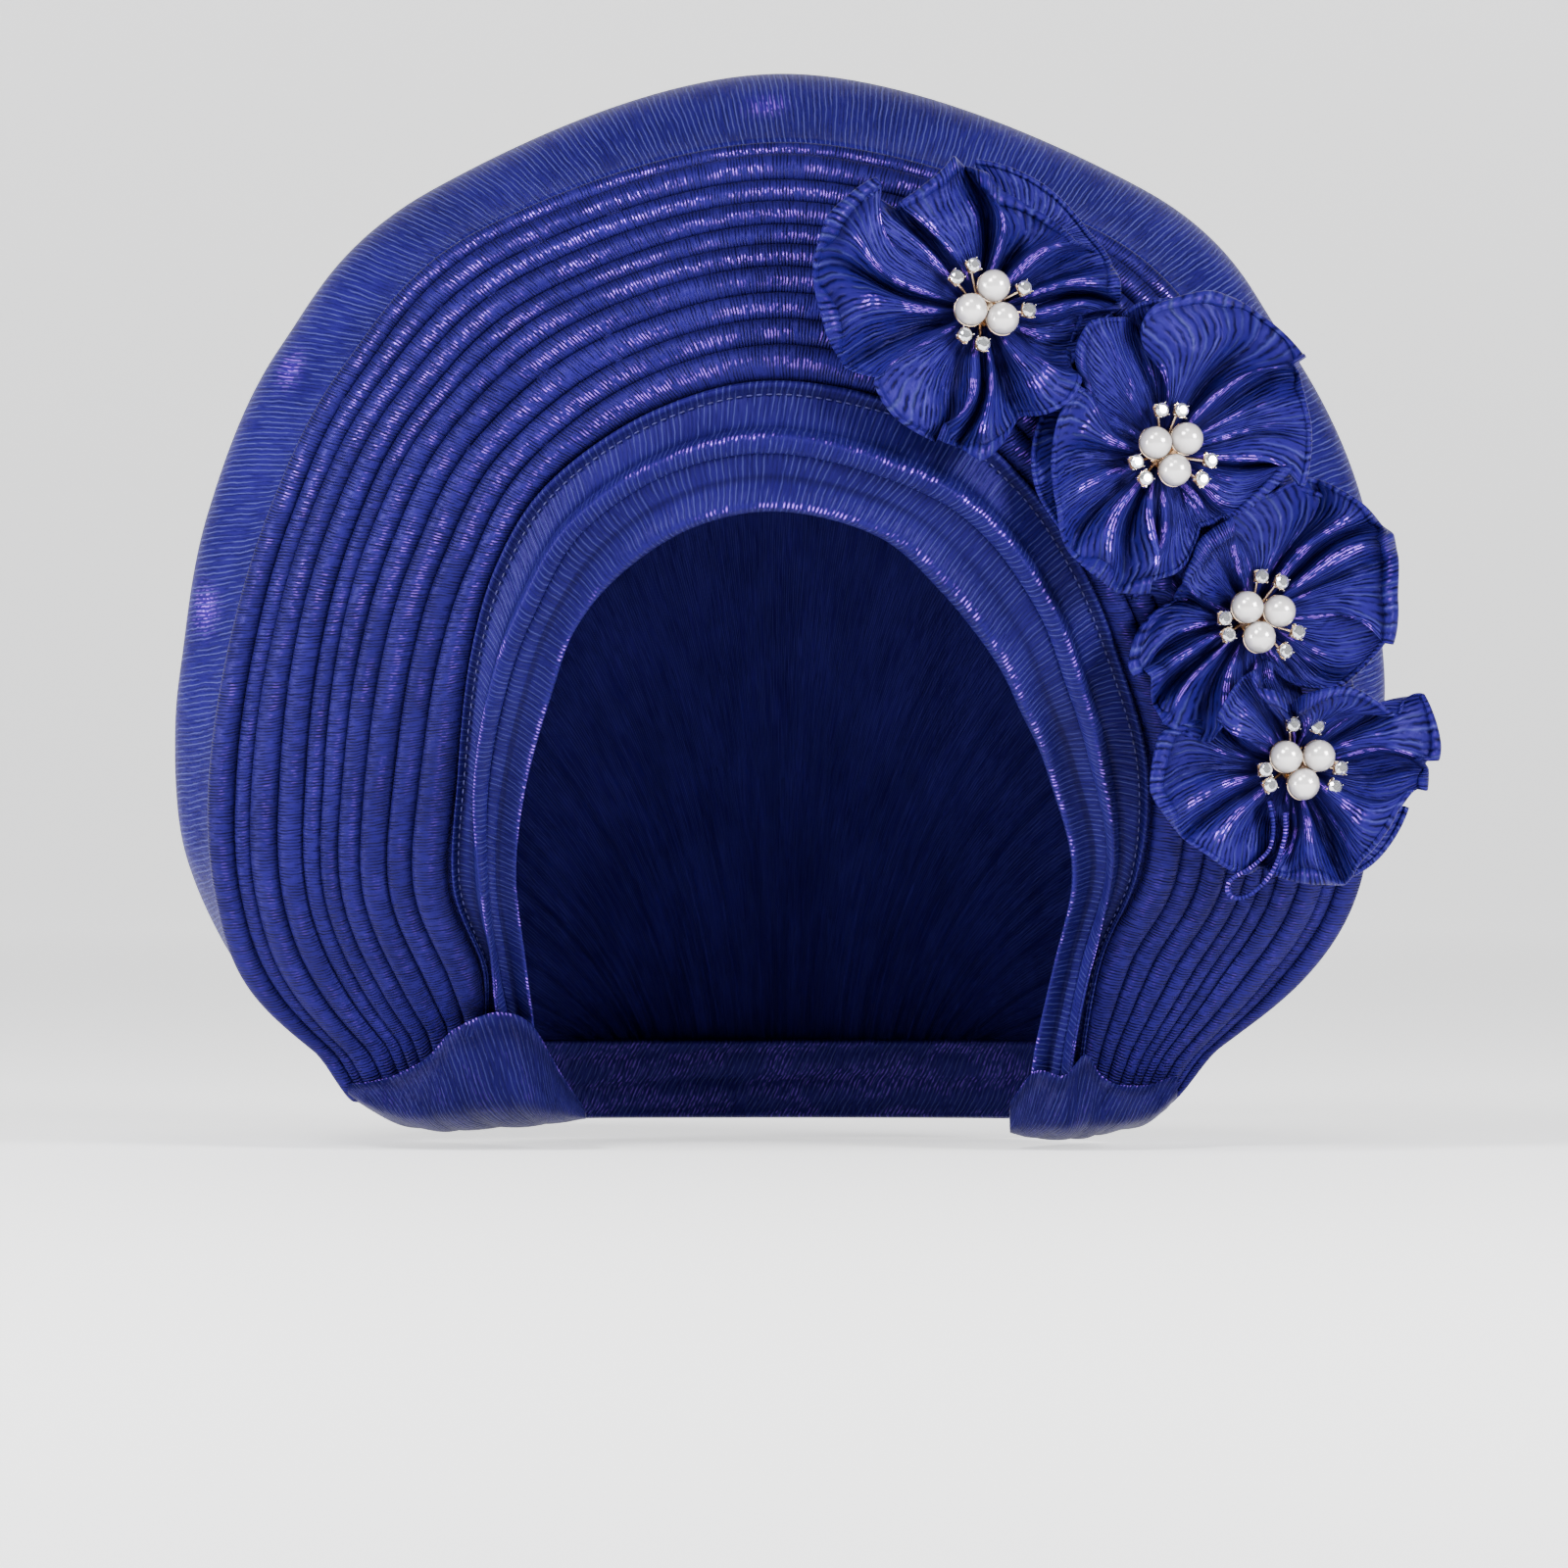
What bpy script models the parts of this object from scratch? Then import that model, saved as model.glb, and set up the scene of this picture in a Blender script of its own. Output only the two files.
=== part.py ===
# A ready-tied gele: a head tie of shiny crinkle cloth in its worn form. It has ten concentric pleats,
# two bands round the face opening, a wound knot at each lower corner and four rosettes, each with a
# brooch of three pearls and six crystals.
# Metres, +Z up. The origin is the crown seat inside the shell, and the face opening looks along -Y.

import math
from collections import namedtuple

import bmesh
import bpy
import numpy as np
from mathutils import Matrix, Vector
from mathutils.bvhtree import BVHTree

OBJECT = "gele_head_tie"
MM = 0.001
CLEARANCE = 0.3 * MM
SEAT_CLEARANCE = 0.5 * MM   # measured from front to back, on cloth that slopes
SEAT_STEP = 2 * MM
SEAT_ACCURACY = 0.02 * MM
SEAT_FROM = 140 * MM        # how far in front of its place a piece starts on its way to its seat
TAIL_SEAT_FROM = 60 * MM
CLOTH = 1.2 * MM            # one layer of the lined cloth
DOUBLED_CLOTH = 2.4 * MM    # the rosettes and the nape band are folded double

# Five lines run round the face opening from the left wrap over the top to the right wrap. A row gives
# where each line passes one station, as (x, y, z) in millimetres:
#   rim    the outline of the crown, seen from the front
#   ridge  the outer side of the first pleat, which hides the front edge of the crown panel
#   seam   where the pleats meet the brow band
#   under  where the face roll goes under the brow band
#   edge   the edge of the face opening
Station = namedtuple("Station", "name rim ridge seam under edge")
STATIONS = [
    Station("left_wrap",
            (-110, 24, -190), (-110, 10, -189), (-73, 2, -174), (-68, 0, -176), (-64, 4, -178)),
    Station("left_low",
            (-133, 23, -166), (-134, 1, -166), (-74, -12, -159), (-71, -12, -160), (-66, -8, -160)),
    Station("left_cheek",
            (-148, 18, -141), (-142, -8, -142), (-81, -28, -139), (-73, -30, -139), (-70, -24, -138)),
    Station("left_ear",
            (-153, 12, -114), (-143, -13, -115), (-78, -41, -113), (-72, -46, -115), (-66, -39, -115)),
    Station("left_temple",
            (-151, 6, -83), (-138, -21, -84), (-74, -57, -84), (-67, -63, -92), (-59, -54, -92)),
    Station("left_side",
            (-144, 1, -47), (-127, -31, -48), (-67, -67, -61), (-60, -73, -74), (-52, -64, -74)),
    Station("left_front",
            (-126, -4, -6), (-108, -41, -12), (-54, -76, -42), (-48, -82, -54), (-37, -74, -60)),
    Station("left_top",
            (-88, -8, 33), (-74, -51, 21), (-29, -82, -26), (-26, -89, -40), (-20, -82, -51)),
    Station("top",
            (0, -10, 62), (0, -57, 42), (0, -85, -20), (0, -94, -36), (0, -86, -48)),
    Station("right_top",
            (90, -8, 33), (76, -51, 21), (37, -82, -28), (31, -89, -44), (23, -82, -54)),
    Station("right_front",
            (125, -4, -4), (109, -41, -11), (57, -76, -43), (48, -82, -55), (39, -74, -68)),
    Station("right_side",
            (144, 1, -42), (128, -31, -47), (70, -67, -62), (61, -73, -73), (52, -64, -84)),
    Station("right_temple",
            (150, 6, -80), (139, -21, -82), (79, -57, -82), (68, -63, -90), (59, -54, -97)),
    Station("right_ear",
            (150, 12, -109), (144, -13, -110), (88, -41, -109), (75, -46, -109), (66, -39, -111)),
    Station("right_cheek",
            (145, 18, -139), (144, -8, -139), (87, -28, -136), (80, -30, -134), (73, -24, -135)),
    Station("right_low",
            (129, 23, -165), (130, 1, -164), (78, -12, -156), (74, -12, -159), (69, -8, -160)),
    Station("right_wrap",
            (98, 24, -189), (99, 10, -189), (72, 2, -189), (68, 0, -190), (63, 4, -190)),
]
LAST = len(STATIONS) - 1
TOP = LAST // 2
UNHALVED = (3, 4, 11, 12, 13)   # intervals so straight that they need no section between stations
SLOPE_STEP = 0.05           # half the stretch, in stations, that gives the direction of a line

# Angles in degrees past which an edge of the cloth is a crease.
PLEAT_CREASE = 50
BAND_CREASE = 60
WRAP_CREASE = 55

# The width of each pleat, from the rim inwards, in millimetres where it is measured.
Pleat = namedtuple("Pleat", "side shoulder top")
PLEATS = [
    Pleat(7.0, 7.0, 3.9),
    Pleat(4.6, 5.6, 7.0),
    Pleat(7.4, 6.8, 5.8),
    Pleat(6.5, 7.0, 6.0),
    Pleat(4.6, 5.3, 5.3),
    Pleat(4.8, 6.8, 5.8),
    Pleat(5.8, 7.0, 6.5),
    Pleat(6.8, 7.7, 6.5),
    Pleat(6.5, 7.0, 6.5),
    Pleat(8.4, 6.1, 7.8),
]
SIDE_STATION = 3            # where the widths were measured, and at the same places on the right
SHOULDER_STATION = 5
PLEAT_RISE = 0.52           # height of a pleat as a share of its width
PLEAT_SHOULDER = 0.27       # where a pleat reaches that height, as a share of its width
FLAT_STRIP = 0.035          # the fan's inner margin, flat under the brow band
FAN_BOW = 3 * MM            # how far the fan bulges between its two edges
END_SAG = 4 * MM            # how far the ends of the pleats go down behind the wraps' front lips
END_SAG_SKEW = 0.7          # under 1 puts the lowest place nearer to the ridge

# Sections of the two bands: share of the way across, and height above the line between edges.
# The face roll starts inside the brow band's roll, so its first places are on the brow band.
BROW_PROFILE = [(-0.06, 1.9), (0.5, 2.1), (0.82, 3.9), (0.97, 3.6), (1.02, 1.4)]
FACE_TUCK = [(0.6, 0.3), (0.95, 0.3)]
FACE_PROFILE = [(0.4, 0.9), (0.74, 3.0), (0.98, 1.6), (0.96, -3.0)]

# The shell behind the rim. A curve with two handles runs from each point of the rim to the nape. A
# handle reaches across, back and up, in millimetres, and further back and up at the top by top_back
# and top_lift, which grow with the height of the rim to the power given.
TUCK_BACK = 0.8 * MM        # how far the panel's front edge lies behind the first pleat
TUCK_IN = 0.2 * MM          # and how far inside it
PANEL_HANDLES = (0.4, 0.45) # shares of the panel's width that its two handles take
NAPE_HALF_WIDTH = 45 * MM
NAPE_Y = 84 * MM
NAPE_BULGE = 3 * MM
NAPE_Z = -188 * MM
Handle = namedtuple("Handle", "across back top_back lift top_lift power")
RIM_HANDLE = Handle(-12, 24, 32, 4, -4, 1.0)
NAPE_HANDLE = Handle(30, 4, 48, 3, 128, 1.5)
CROWN_SAMPLES = (0.13, 0.3, 0.52, 0.76, 1.0)

# The wraps: sections from the opening outwards, in millimetres. The lip is the front of the wrap's
# top, and the dip behind it holds the ends of the pleats.
WrapSection = namedtuple("WrapSection", "x lip dip bottom front back")
LEFT_WRAP = [
    WrapSection(-50, -197.0, -198.0, -199.5, 0, 12),
    WrapSection(-56, -187.5, -192.0, -200.5, -7, 24),
    WrapSection(-63, -175.5, -183.5, -201.5, -11, 32),
    WrapSection(-70.5, -172.0, -181.0, -202.0, -12, 36),
    WrapSection(-78, -174.0, -182.0, -202.5, -12, 38),
    WrapSection(-83.5, -177.0, -184.5, -203.0, -11, 38),
    WrapSection(-89, -183.0, -189.0, -202.8, -9, 38),
    WrapSection(-97, -187.8, -192.5, -201.5, -4, 38),
    WrapSection(-105, -190.0, -193.0, -197.5, 0, 34),
    WrapSection(-110, -190.6, -192.2, -194.0, 5, 28),
]
RIGHT_WRAP = [
    WrapSection(57, -195.0, -196.5, -203.0, 0, 12),
    WrapSection(63, -187.0, -193.5, -204.5, -7, 24),
    WrapSection(70, -188.0, -193.5, -205.0, -11, 34),
    WrapSection(75.6, -182.7, -193.5, -204.7, -11, 37),
    WrapSection(79.5, -188.0, -194.5, -204.0, -9, 38),
    WrapSection(84, -190.3, -195.0, -203.0, -8, 38),
    WrapSection(91, -190.7, -195.6, -201.5, -3, 36),
    WrapSection(96, -189.2, -194.8, -198.0, -2, 32),
    WrapSection(99, -188.6, -192.2, -194.5, -1, 27),
]
LIP_BACK = 4.5 * MM         # the dip starts this far behind the front

# What rounds a wrap's section, as shares of its depth or of its height.
LIP_CREST = 0.3             # where the lip's crest is, as a share of LIP_BACK
FRONT_SWELL = 0.35          # how far below the lip the front stands furthest forward
UNDER_ROUND = 0.2
FRONT_TUCK = 0.08
BACK_TUCK = 0.1
BACK_ROUND = 0.12

# The nape band runs from wrap to wrap, its upper edge inside the shell's lower edge.
NAPE_BAND = [(-93.5, 39.7), (-81, 60), (-64, 74), (-43, 80.5), (0, 83.5), (43, 80.5), (63, 74),
             (75, 60), (84.5, 39.7)]
NAPE_BAND_TOP = -181.5 * MM
NAPE_BAND_HEIGHT = 20.5 * MM

# Rosettes. Each fold is a spoke from the brooch outwards: its angle from +X towards +Z, its
# reach to the outer edge, how far its crest stands forward there, and how far it sags between.
Fold = namedtuple("Fold", "angle reach lift sag")
Rosette = namedtuple("Rosette", "name x z lean_x lean_z folds")
ROSETTES = [
    Rosette("rosette_1", 48.9, 0.7, 0.30, 0.20, [
        Fold(-5, 34, 6, 0), Fold(4, 33, 4, 1), Fold(15, 34, 9, 0), Fold(27, 33, 5, 0),
        Fold(45, 31, 11, 1), Fold(62, 33, 7, 3), Fold(77, 36, 11, 0), Fold(88, 36, 4, 0),
        Fold(95, 37, 10, 0), Fold(110, 33, 10, 1), Fold(126, 33, 3, 0), Fold(133, 39, 9, 0),
        Fold(145, 40, 8, 2), Fold(163, 44, 10, 0), Fold(173, 43, 5, 0), Fold(185, 40, 10, 0),
        Fold(201, 37, 4, 0), Fold(216, 31, 11, 0), Fold(229, 36, 9, 0), Fold(244, 36, 3, 0),
        Fold(257, 35, 9, 1), Fold(269, 35, 3, 0), Fold(277, 38, 8, 0), Fold(291, 28, 5, 2),
        Fold(307, 28, 9, 0), Fold(327, 22, 2, 0), Fold(343, 24, 3, 0),
    ]),
    Rosette("rosette_2", 93.7, -34.1, 0.38, 0.10, [
        Fold(-3, 34, 8, 0), Fold(10, 35, 9, 4), Fold(25, 36, 10, 4), Fold(38, 38, 6, 0),
        Fold(50, 41, 9, 0), Fold(65, 41, 5, 0), Fold(74, 39, 11, 0), Fold(86, 29, 11, 0),
        Fold(97, 33, 4, 0), Fold(112, 36, 9, 0), Fold(124, 36, 9, 1), Fold(141, 30, 9, 5),
        Fold(158, 26, 9, 5), Fold(175, 28, 8, 0), Fold(190, 29, 8, 4), Fold(207, 31, 8, 2),
        Fold(220, 34, 4, 0), Fold(230, 36, 9, 0), Fold(240, 36, 6, 1), Fold(248, 35, 9, 0),
        Fold(256, 32, 4, 0), Fold(266, 33, 7, 1), Fold(279, 28, 3, 1), Fold(293, 20, 2, 0),
        Fold(310, 20, 3, 0), Fold(325, 24, 6, 0), Fold(338, 29, 6, 0), Fold(349, 34, 6, 0),
    ]),
    Rosette("rosette_3", 116.6, -74.2, 0.40, 0.0, [
        Fold(0, 33, 11, 4), Fold(14, 35, 12, 5), Fold(27, 38, 9, 1), Fold(38, 39, 10, 0),
        Fold(47, 38, 7, 0), Fold(57, 38, 9, 0), Fold(69, 37, 3, 0), Fold(78, 31, 9, 0),
        Fold(91, 26, 11, 2), Fold(106, 24, 12, 3), Fold(122, 24, 12, 6), Fold(140, 21, 12, 6),
        Fold(160, 20, 11, 2), Fold(174, 25, 5, 0), Fold(184, 34, 8, 2), Fold(195, 32, 4, 0),
        Fold(206, 30, 9, 0), Fold(215, 34, 4, 0), Fold(225, 35, 9, 0), Fold(234, 32, 4, 0),
        Fold(243, 27, 6, 0), Fold(255, 22, 3, 0), Fold(268, 14, 2, 0), Fold(290, 12, 1, 0),
        Fold(307, 20, 2, 0), Fold(322, 27, 3, 0), Fold(340, 32, 7, 3),
    ]),
    Rosette("rosette_4", 126.9, -110.2, 0.38, 0.0, [
        Fold(-1, 32, 7, 0), Fold(9, 33, 9, 0), Fold(21, 36, 11, 0), Fold(34, 35, 9, 1),
        Fold(45, 29, 12, 2), Fold(60, 23, 12, 2), Fold(76, 17, 11, 2), Fold(88, 14, 8, 0),
        Fold(98, 21, 11, 6), Fold(108, 26, 12, 7), Fold(121, 26, 12, 3), Fold(136, 24, 12, 0),
        Fold(151, 22, 11, 0), Fold(164, 27, 4, 0), Fold(175, 37, 8, 3), Fold(187, 38, 8, 4),
        Fold(198, 36, 8, 1), Fold(209, 34, 5, 0), Fold(220, 31, 9, 1), Fold(233, 30, 10, 0),
        Fold(245, 26, 2, 0), Fold(260, 27, 4, 0), Fold(273, 29, 5, 0), Fold(284, 30, 9, 0),
        Fold(296, 32, 5, 3), Fold(309, 28, 9, 1), Fold(323, 27, 11, 0), Fold(336, 33, 10, 0),
        Fold(348, 33, 8, 0),
    ]),
]
PINCH_RADIUS = 5.5 * MM     # the flat middle, where the folds are drawn together
RINGS = (0.42, 0.70, 0.92, 1.0)     # shares of a fold's reach
RING_START = 0.8 * MM       # the first ring is at least this far from the flat middle
RING_STEP = 1.2 * MM        # and each further ring at least this much further out
RISE_START = 0.16           # share of its reach at which a fold begins to stand forward
RISE_POWER = 1.15
LEAST_LIFT = 0.6            # millimetres
RIM_DROP = 2.2              # millimetres that the folded edge turns back from the crest
PINCH_SHIFT = 4.5 * MM      # the middle moves back along the lean, so that the brooch stays in place

# The tail: the path of its folded strip in the plane of the rosettes, in millimetres from the
# middle of the lowest rosette.
TAIL_PATH = [(-5.5, -9), (-4.5, -15), (-5.5, -21), (-10, -25.5), (-15, -28.5), (-16, -31), (-14, -32.5),
             (-10, -31), (-5.5, -26), (-2.6, -18), (-2.4, -12)]
TAIL_SECTIONS = 13
TAIL_ACROSS = (0.8 * MM, 5 * MM, 0.4 * MM)  # from the strip's front edge to its back edge
TAIL_CLOTH = 1.0 * MM

# Brooches: directions of the pearls and crystals, from +X towards +Z.
Brooch = namedtuple("Brooch", "pearls crystals")
BROOCHES = [
    Brooch((71, 197, 313), (109, 140, 24, -8, 230, 258)),
    Brooch((158, 37, 274), (105, 75, 197, 223, 317, 347)),
    Brooch((148, 20, 260), (92, 60, 181, 205, 307, 340)),
    Brooch((157, 26, 272), (105, 68, 187, 210, 327, 355)),
]
PEARL_DIAMETER = 8 * MM
PEARL_RING = 4.85 * MM      # pearl centres from the brooch's axis
PEARL_SIDES = 10
PEARL_ROWS = 6
CRYSTAL_DIAMETER = 3.5 * MM
CRYSTAL_RING = 10.2 * MM
CRYSTAL_SIDES = 8
TABLE_SHARE = 0.6           # a crystal's table, crown and pavilion, as shares of its radius
CROWN_SHARE = 0.35
PAVILION_SHARE = 0.75
CUP_SIDE = 3.4 * MM
CUP_HEIGHT = 1.3 * MM
CUP_FLOOR = 4.6 * MM        # underside of a crystal's cup above the rosette
WIRE_DIAMETER = 0.9 * MM
WIRE_SIDES = 5
WIRE_ROOT = 0.6             # where a wire leaves the base, as a share of the base's radius
BASE_RADIUS = 4.4 * MM
BASE_TAPER = 0.9
BASE_HEIGHT = 1.6 * MM
BASE_SIDES = 10
PEARL_CUP_RADIUS = 1.9 * MM
PEARL_CUP_HEIGHT = 1.0 * MM
PEARL_CUP_SIDES = 6
PEARL_CUP_TAPER = 0.8
PEARL_CUP_INSET = 0.8       # its place, as a share of PEARL_RING
SOLDER = 0.5 * MM           # how deep a pearl's cup is sunk in the base

Finish = namedtuple("Finish", "name colour roughness metallic")
BLUE_CLOTH = Finish("blue_crinkle_cloth", (0.035, 0.06, 0.32), 0.38, 0.25)
PEARL = Finish("pearl", (0.86, 0.85, 0.82), 0.18, 0.0)
CRYSTAL = Finish("crystal", (0.9, 0.9, 0.92), 0.05, 0.0)
PALE_GOLD = Finish("pale_gold_metal", (0.83, 0.66, 0.45), 0.25, 1.0)


def clear_scene():
    for item in list(bpy.data.objects):
        bpy.data.objects.remove(item, do_unlink=True)


def make_collection(name):
    collection = bpy.data.collections.new(name)
    bpy.context.scene.collection.children.link(collection)
    return collection


def make_material(finish):
    material = bpy.data.materials.new(finish.name)
    material.use_nodes = True
    shader = material.node_tree.nodes["Principled BSDF"]
    shader.inputs["Base Color"].default_value = (*finish.colour, 1.0)
    shader.inputs["Roughness"].default_value = finish.roughness
    shader.inputs["Metallic"].default_value = finish.metallic
    material.diffuse_color = (*finish.colour, 1.0)
    return material


def add_object(name, mesh, collection, material):
    item = bpy.data.objects.new(name, mesh)
    collection.objects.link(item)
    if material:
        mesh.materials.clear()
        mesh.materials.append(material)
    return item


def mesh_from(name, points, faces):
    mesh = bpy.data.meshes.new(name)
    mesh.from_pydata([tuple(point) for point in points], [], faces)
    mesh.validate()
    return mesh


def sine(angle):
    return math.sin(math.radians(angle))


def cosine(angle):
    return math.cos(math.radians(angle))


def unit(vector):
    return vector / np.linalg.norm(vector)


# Lines through the stations

def spline(points, place):
    # A Catmull-Rom curve through points, one unit of place for each interval.
    points = np.asarray(points, float)
    last = len(points) - 1
    index = min(int(place), last - 1)
    share = place - index
    before = points[index - 1] if index > 0 else 2 * points[0] - points[1]
    after = points[index + 2] if index < last - 1 else 2 * points[last] - points[last - 1]
    here, there = points[index], points[index + 1]
    return 0.5 * (2 * here + (there - before) * share
                  + (2 * before - 5 * here + 4 * there - after) * share ** 2
                  + (3 * here - before - 3 * there + after) * share ** 3)


def line(name, place):
    return spline([getattr(station, name) for station in STATIONS], place) * MM


def section_places():
    places = [float(index) for index in range(LAST + 1)]
    places += [index + 0.5 for index in range(LAST) if index not in UNHALVED]
    return sorted(places)


def outward(place, outer, inner):
    # The direction from the outer line to the inner one, and the normal that faces forward.
    across = unit(line(inner, place) - line(outer, place))
    around_place = (max(place - SLOPE_STEP, 0), min(place + SLOPE_STEP, LAST))
    middle = [(line(outer, near) + line(inner, near)) / 2 for near in around_place]
    normal = unit(np.cross(across, middle[1] - middle[0]))
    return across, -normal if normal[1] > 0 else normal


def grid_mesh(name, rows):
    # An open sheet: rows of points, with the faces turned to the front.
    width = len(rows[0])
    points = [point for row in rows for point in row]
    faces = []
    for row in range(len(rows) - 1):
        for column in range(width - 1):
            corner = row * width + column
            faces.append((corner, corner + 1, corner + width + 1, corner + width))
    mesh = mesh_from(name, points, faces)
    middle = mesh.polygons[(len(rows) // 2) * (width - 1)]
    if middle.normal.y > 0:
        mesh.flip_normals()
    return mesh


def solidify(item, thickness):
    modifier = item.modifiers.new("cloth", "SOLIDIFY")
    modifier.thickness = thickness
    modifier.offset = -1
    modifier.use_even_offset = False
    return modifier


def smooth_cloth(item, crease):
    item.data.shade_smooth()
    item.data.set_sharp_from_angle(angle=math.radians(crease))


# The pleated fan

def pleat_edges(place):
    # Shares of the way from ridge to seam where the pleats meet.
    distance = abs(place - TOP)
    side = TOP - SIDE_STATION
    shoulder = TOP - SHOULDER_STATION
    if distance <= shoulder:
        share = distance / shoulder
        widths = [pleat.top * (1 - share) + pleat.shoulder * share for pleat in PLEATS]
    else:
        share = min((distance - shoulder) / (side - shoulder), 1)
        widths = [pleat.shoulder * (1 - share) + pleat.side * share for pleat in PLEATS]
    edges = np.concatenate([[0], np.cumsum(widths)]) / sum(widths)
    return edges * (1 - FLAT_STRIP)


def fan_point(place, across_share, height):
    ridge, seam = line("ridge", place), line("seam", place)
    _, normal = outward(place, "ridge", "seam")
    bow = math.sin(math.pi * across_share)
    end = max(0.0, 1 - place, place - (LAST - 1))
    sag = np.array([0, 0, -1]) * END_SAG * math.sin(math.pi * across_share ** END_SAG_SKEW) * end
    return ridge + (seam - ridge) * across_share + normal * (FAN_BOW * bow * (1 - end) + height) + sag


def fan_section(place):
    width = np.linalg.norm(line("seam", place) - line("ridge", place))
    edges = pleat_edges(place)
    row = []
    for start, end in zip(edges[:-1], edges[1:]):
        span = end - start
        rise = PLEAT_RISE * span * width
        row.append(fan_point(place, start, 0))
        row.append(fan_point(place, start + span * PLEAT_SHOULDER, rise))
        row.append(fan_point(place, end - span * PLEAT_SHOULDER, rise))
    row.append(fan_point(place, edges[-1], 0))
    row.append(fan_point(place, 1, 0))
    return row


def make_fan(collection, material):
    rows = [fan_section(place) for place in section_places()]
    item = add_object("pleated_fan", grid_mesh("pleated_fan", rows), collection, material)
    smooth_cloth(item, PLEAT_CREASE)
    solidify(item, CLOTH)
    return item


# The outer panel and the back shell

def bezier(corners, share):
    a, b, c, d = corners
    rest = 1 - share
    return a * rest ** 3 + b * 3 * rest ** 2 * share + c * 3 * rest * share ** 2 + d * share ** 3


def handle_reach(handle, side, rise):
    back = handle.back + handle.top_back * rise
    lift = handle.lift + handle.top_lift * rise ** handle.power
    return np.array([handle.across * side, back, lift]) * MM


def crown_section(place):
    across, normal = outward(place, "ridge", "seam")
    front = line("ridge", place) - normal * TUCK_BACK + across * TUCK_IN
    rim = line("rim", place)
    turn = math.pi * place / LAST
    rise, side = math.sin(turn), -math.cos(turn)
    nape = np.array([NAPE_HALF_WIDTH * side, NAPE_Y + NAPE_BULGE * rise, NAPE_Z])
    first, second = PANEL_HANDLES
    before_rim = rim - np.array([0, second * (rim[1] - front[1]), 0])
    panel = [front, front + (rim - front) * first, before_rim, rim]
    row = [bezier(panel, share) for share in (0, 0.5)] + [rim]
    behind_rim = rim + handle_reach(RIM_HANDLE, side, rise)
    above_nape = nape + handle_reach(NAPE_HANDLE, side, rise)
    row += [bezier([rim, behind_rim, above_nape, nape], share) for share in CROWN_SAMPLES]
    return row


def make_crown(collection, material):
    rows = [crown_section(place) for place in section_places()]
    item = add_object("crown_panel", grid_mesh("crown_panel", rows), collection, material)
    smooth_cloth(item, BAND_CREASE)
    solidify(item, CLOTH)
    return item


# The two bands round the face opening

def band_section(place, outer, inner, profile):
    start, end = line(outer, place), line(inner, place)
    _, normal = outward(place, outer, inner)
    return [start + (end - start) * share + normal * height * MM for share, height in profile]


def brow_section(place):
    return band_section(place, "seam", "under", BROW_PROFILE)


def face_section(place):
    hidden = band_section(place, "seam", "under", FACE_TUCK)
    return hidden + band_section(place, "under", "edge", FACE_PROFILE)


def make_band(name, section, collection, material):
    rows = [section(place) for place in section_places()]
    item = add_object(name, grid_mesh(name, rows), collection, material)
    smooth_cloth(item, BAND_CREASE)
    solidify(item, CLOTH)
    return item


# The wraps and the nape band

def wrap_ring(section):
    x, lip, dip, bottom = section.x * MM, section.lip * MM, section.dip * MM, section.bottom * MM
    front, back = section.front * MM, section.back * MM
    middle = (front + back) / 2
    height, depth = lip - bottom, back - front
    ring = [
        (front + LIP_CREST * LIP_BACK, lip),
        (front, lip - FRONT_SWELL * height),
        (front + FRONT_TUCK * depth, bottom + UNDER_ROUND * height),
        (middle, bottom),
        (back - BACK_TUCK * depth, bottom + UNDER_ROUND * (dip - bottom)),
        (back, (dip + bottom) / 2),
        (back - BACK_ROUND * depth, dip - BACK_ROUND * (dip - bottom)),
        (front + LIP_BACK, dip),
    ]
    return [(x, y, z) for y, z in ring]


def make_wrap(name, sections, collection, material):
    rings = [wrap_ring(section) for section in sections]
    count = len(rings[0])
    points = [point for ring in rings for point in ring]
    faces = [tuple(range(count)), tuple(reversed(range(len(points) - count, len(points))))]
    for row in range(len(rings) - 1):
        for side in range(count):
            a, b = row * count + side, row * count + (side + 1) % count
            faces.append((a, a + count, b + count, b))
    mesh = mesh_from(name, points, faces)
    turn_outward(mesh)
    item = add_object(name, mesh, collection, material)
    smooth_cloth(item, WRAP_CREASE)
    return item


def turn_outward(mesh):
    work = bmesh.new()
    work.from_mesh(mesh)
    bmesh.ops.recalc_face_normals(work, faces=work.faces)
    work.to_mesh(mesh)
    work.free()


def make_nape_band(collection, material):
    path = np.array([(x, y, 0) for x, y in NAPE_BAND])
    last = len(path) - 1
    rows = []
    for step in range(2 * last + 1):
        point = spline(path, step / 2) * MM
        rows.append([point + np.array([0, 0, NAPE_BAND_TOP - drop]) for drop in (0, NAPE_BAND_HEIGHT)])
    mesh = grid_mesh("nape_band", rows)
    if mesh.polygons[0].normal.y < 0:
        mesh.flip_normals()
    item = add_object("nape_band", mesh, collection, material)
    smooth_cloth(item, BAND_CREASE)
    solidify(item, DOUBLED_CLOTH)
    return item


# Meeting surfaces

def world_mesh(item):
    graph = bpy.context.evaluated_depsgraph_get()
    evaluated = item.evaluated_get(graph)
    mesh = evaluated.to_mesh()
    points = [item.matrix_world @ vertex.co for vertex in mesh.vertices]
    mesh.calc_loop_triangles()
    faces = [tuple(triangle.vertices) for triangle in mesh.loop_triangles]
    evaluated.to_mesh_clear()
    return points, faces


def surface_tree(items):
    points, faces = [], []
    for item in items:
        more_points, more_faces = world_mesh(item)
        start = len(points)
        points += more_points
        faces += [tuple(index + start for index in face) for face in more_faces]
    return BVHTree.FromPolygons(points, faces)


def touches(points, faces, shift, tree):
    moved = [point + shift for point in points]
    return bool(BVHTree.FromPolygons(moved, faces).overlap(tree))


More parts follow.
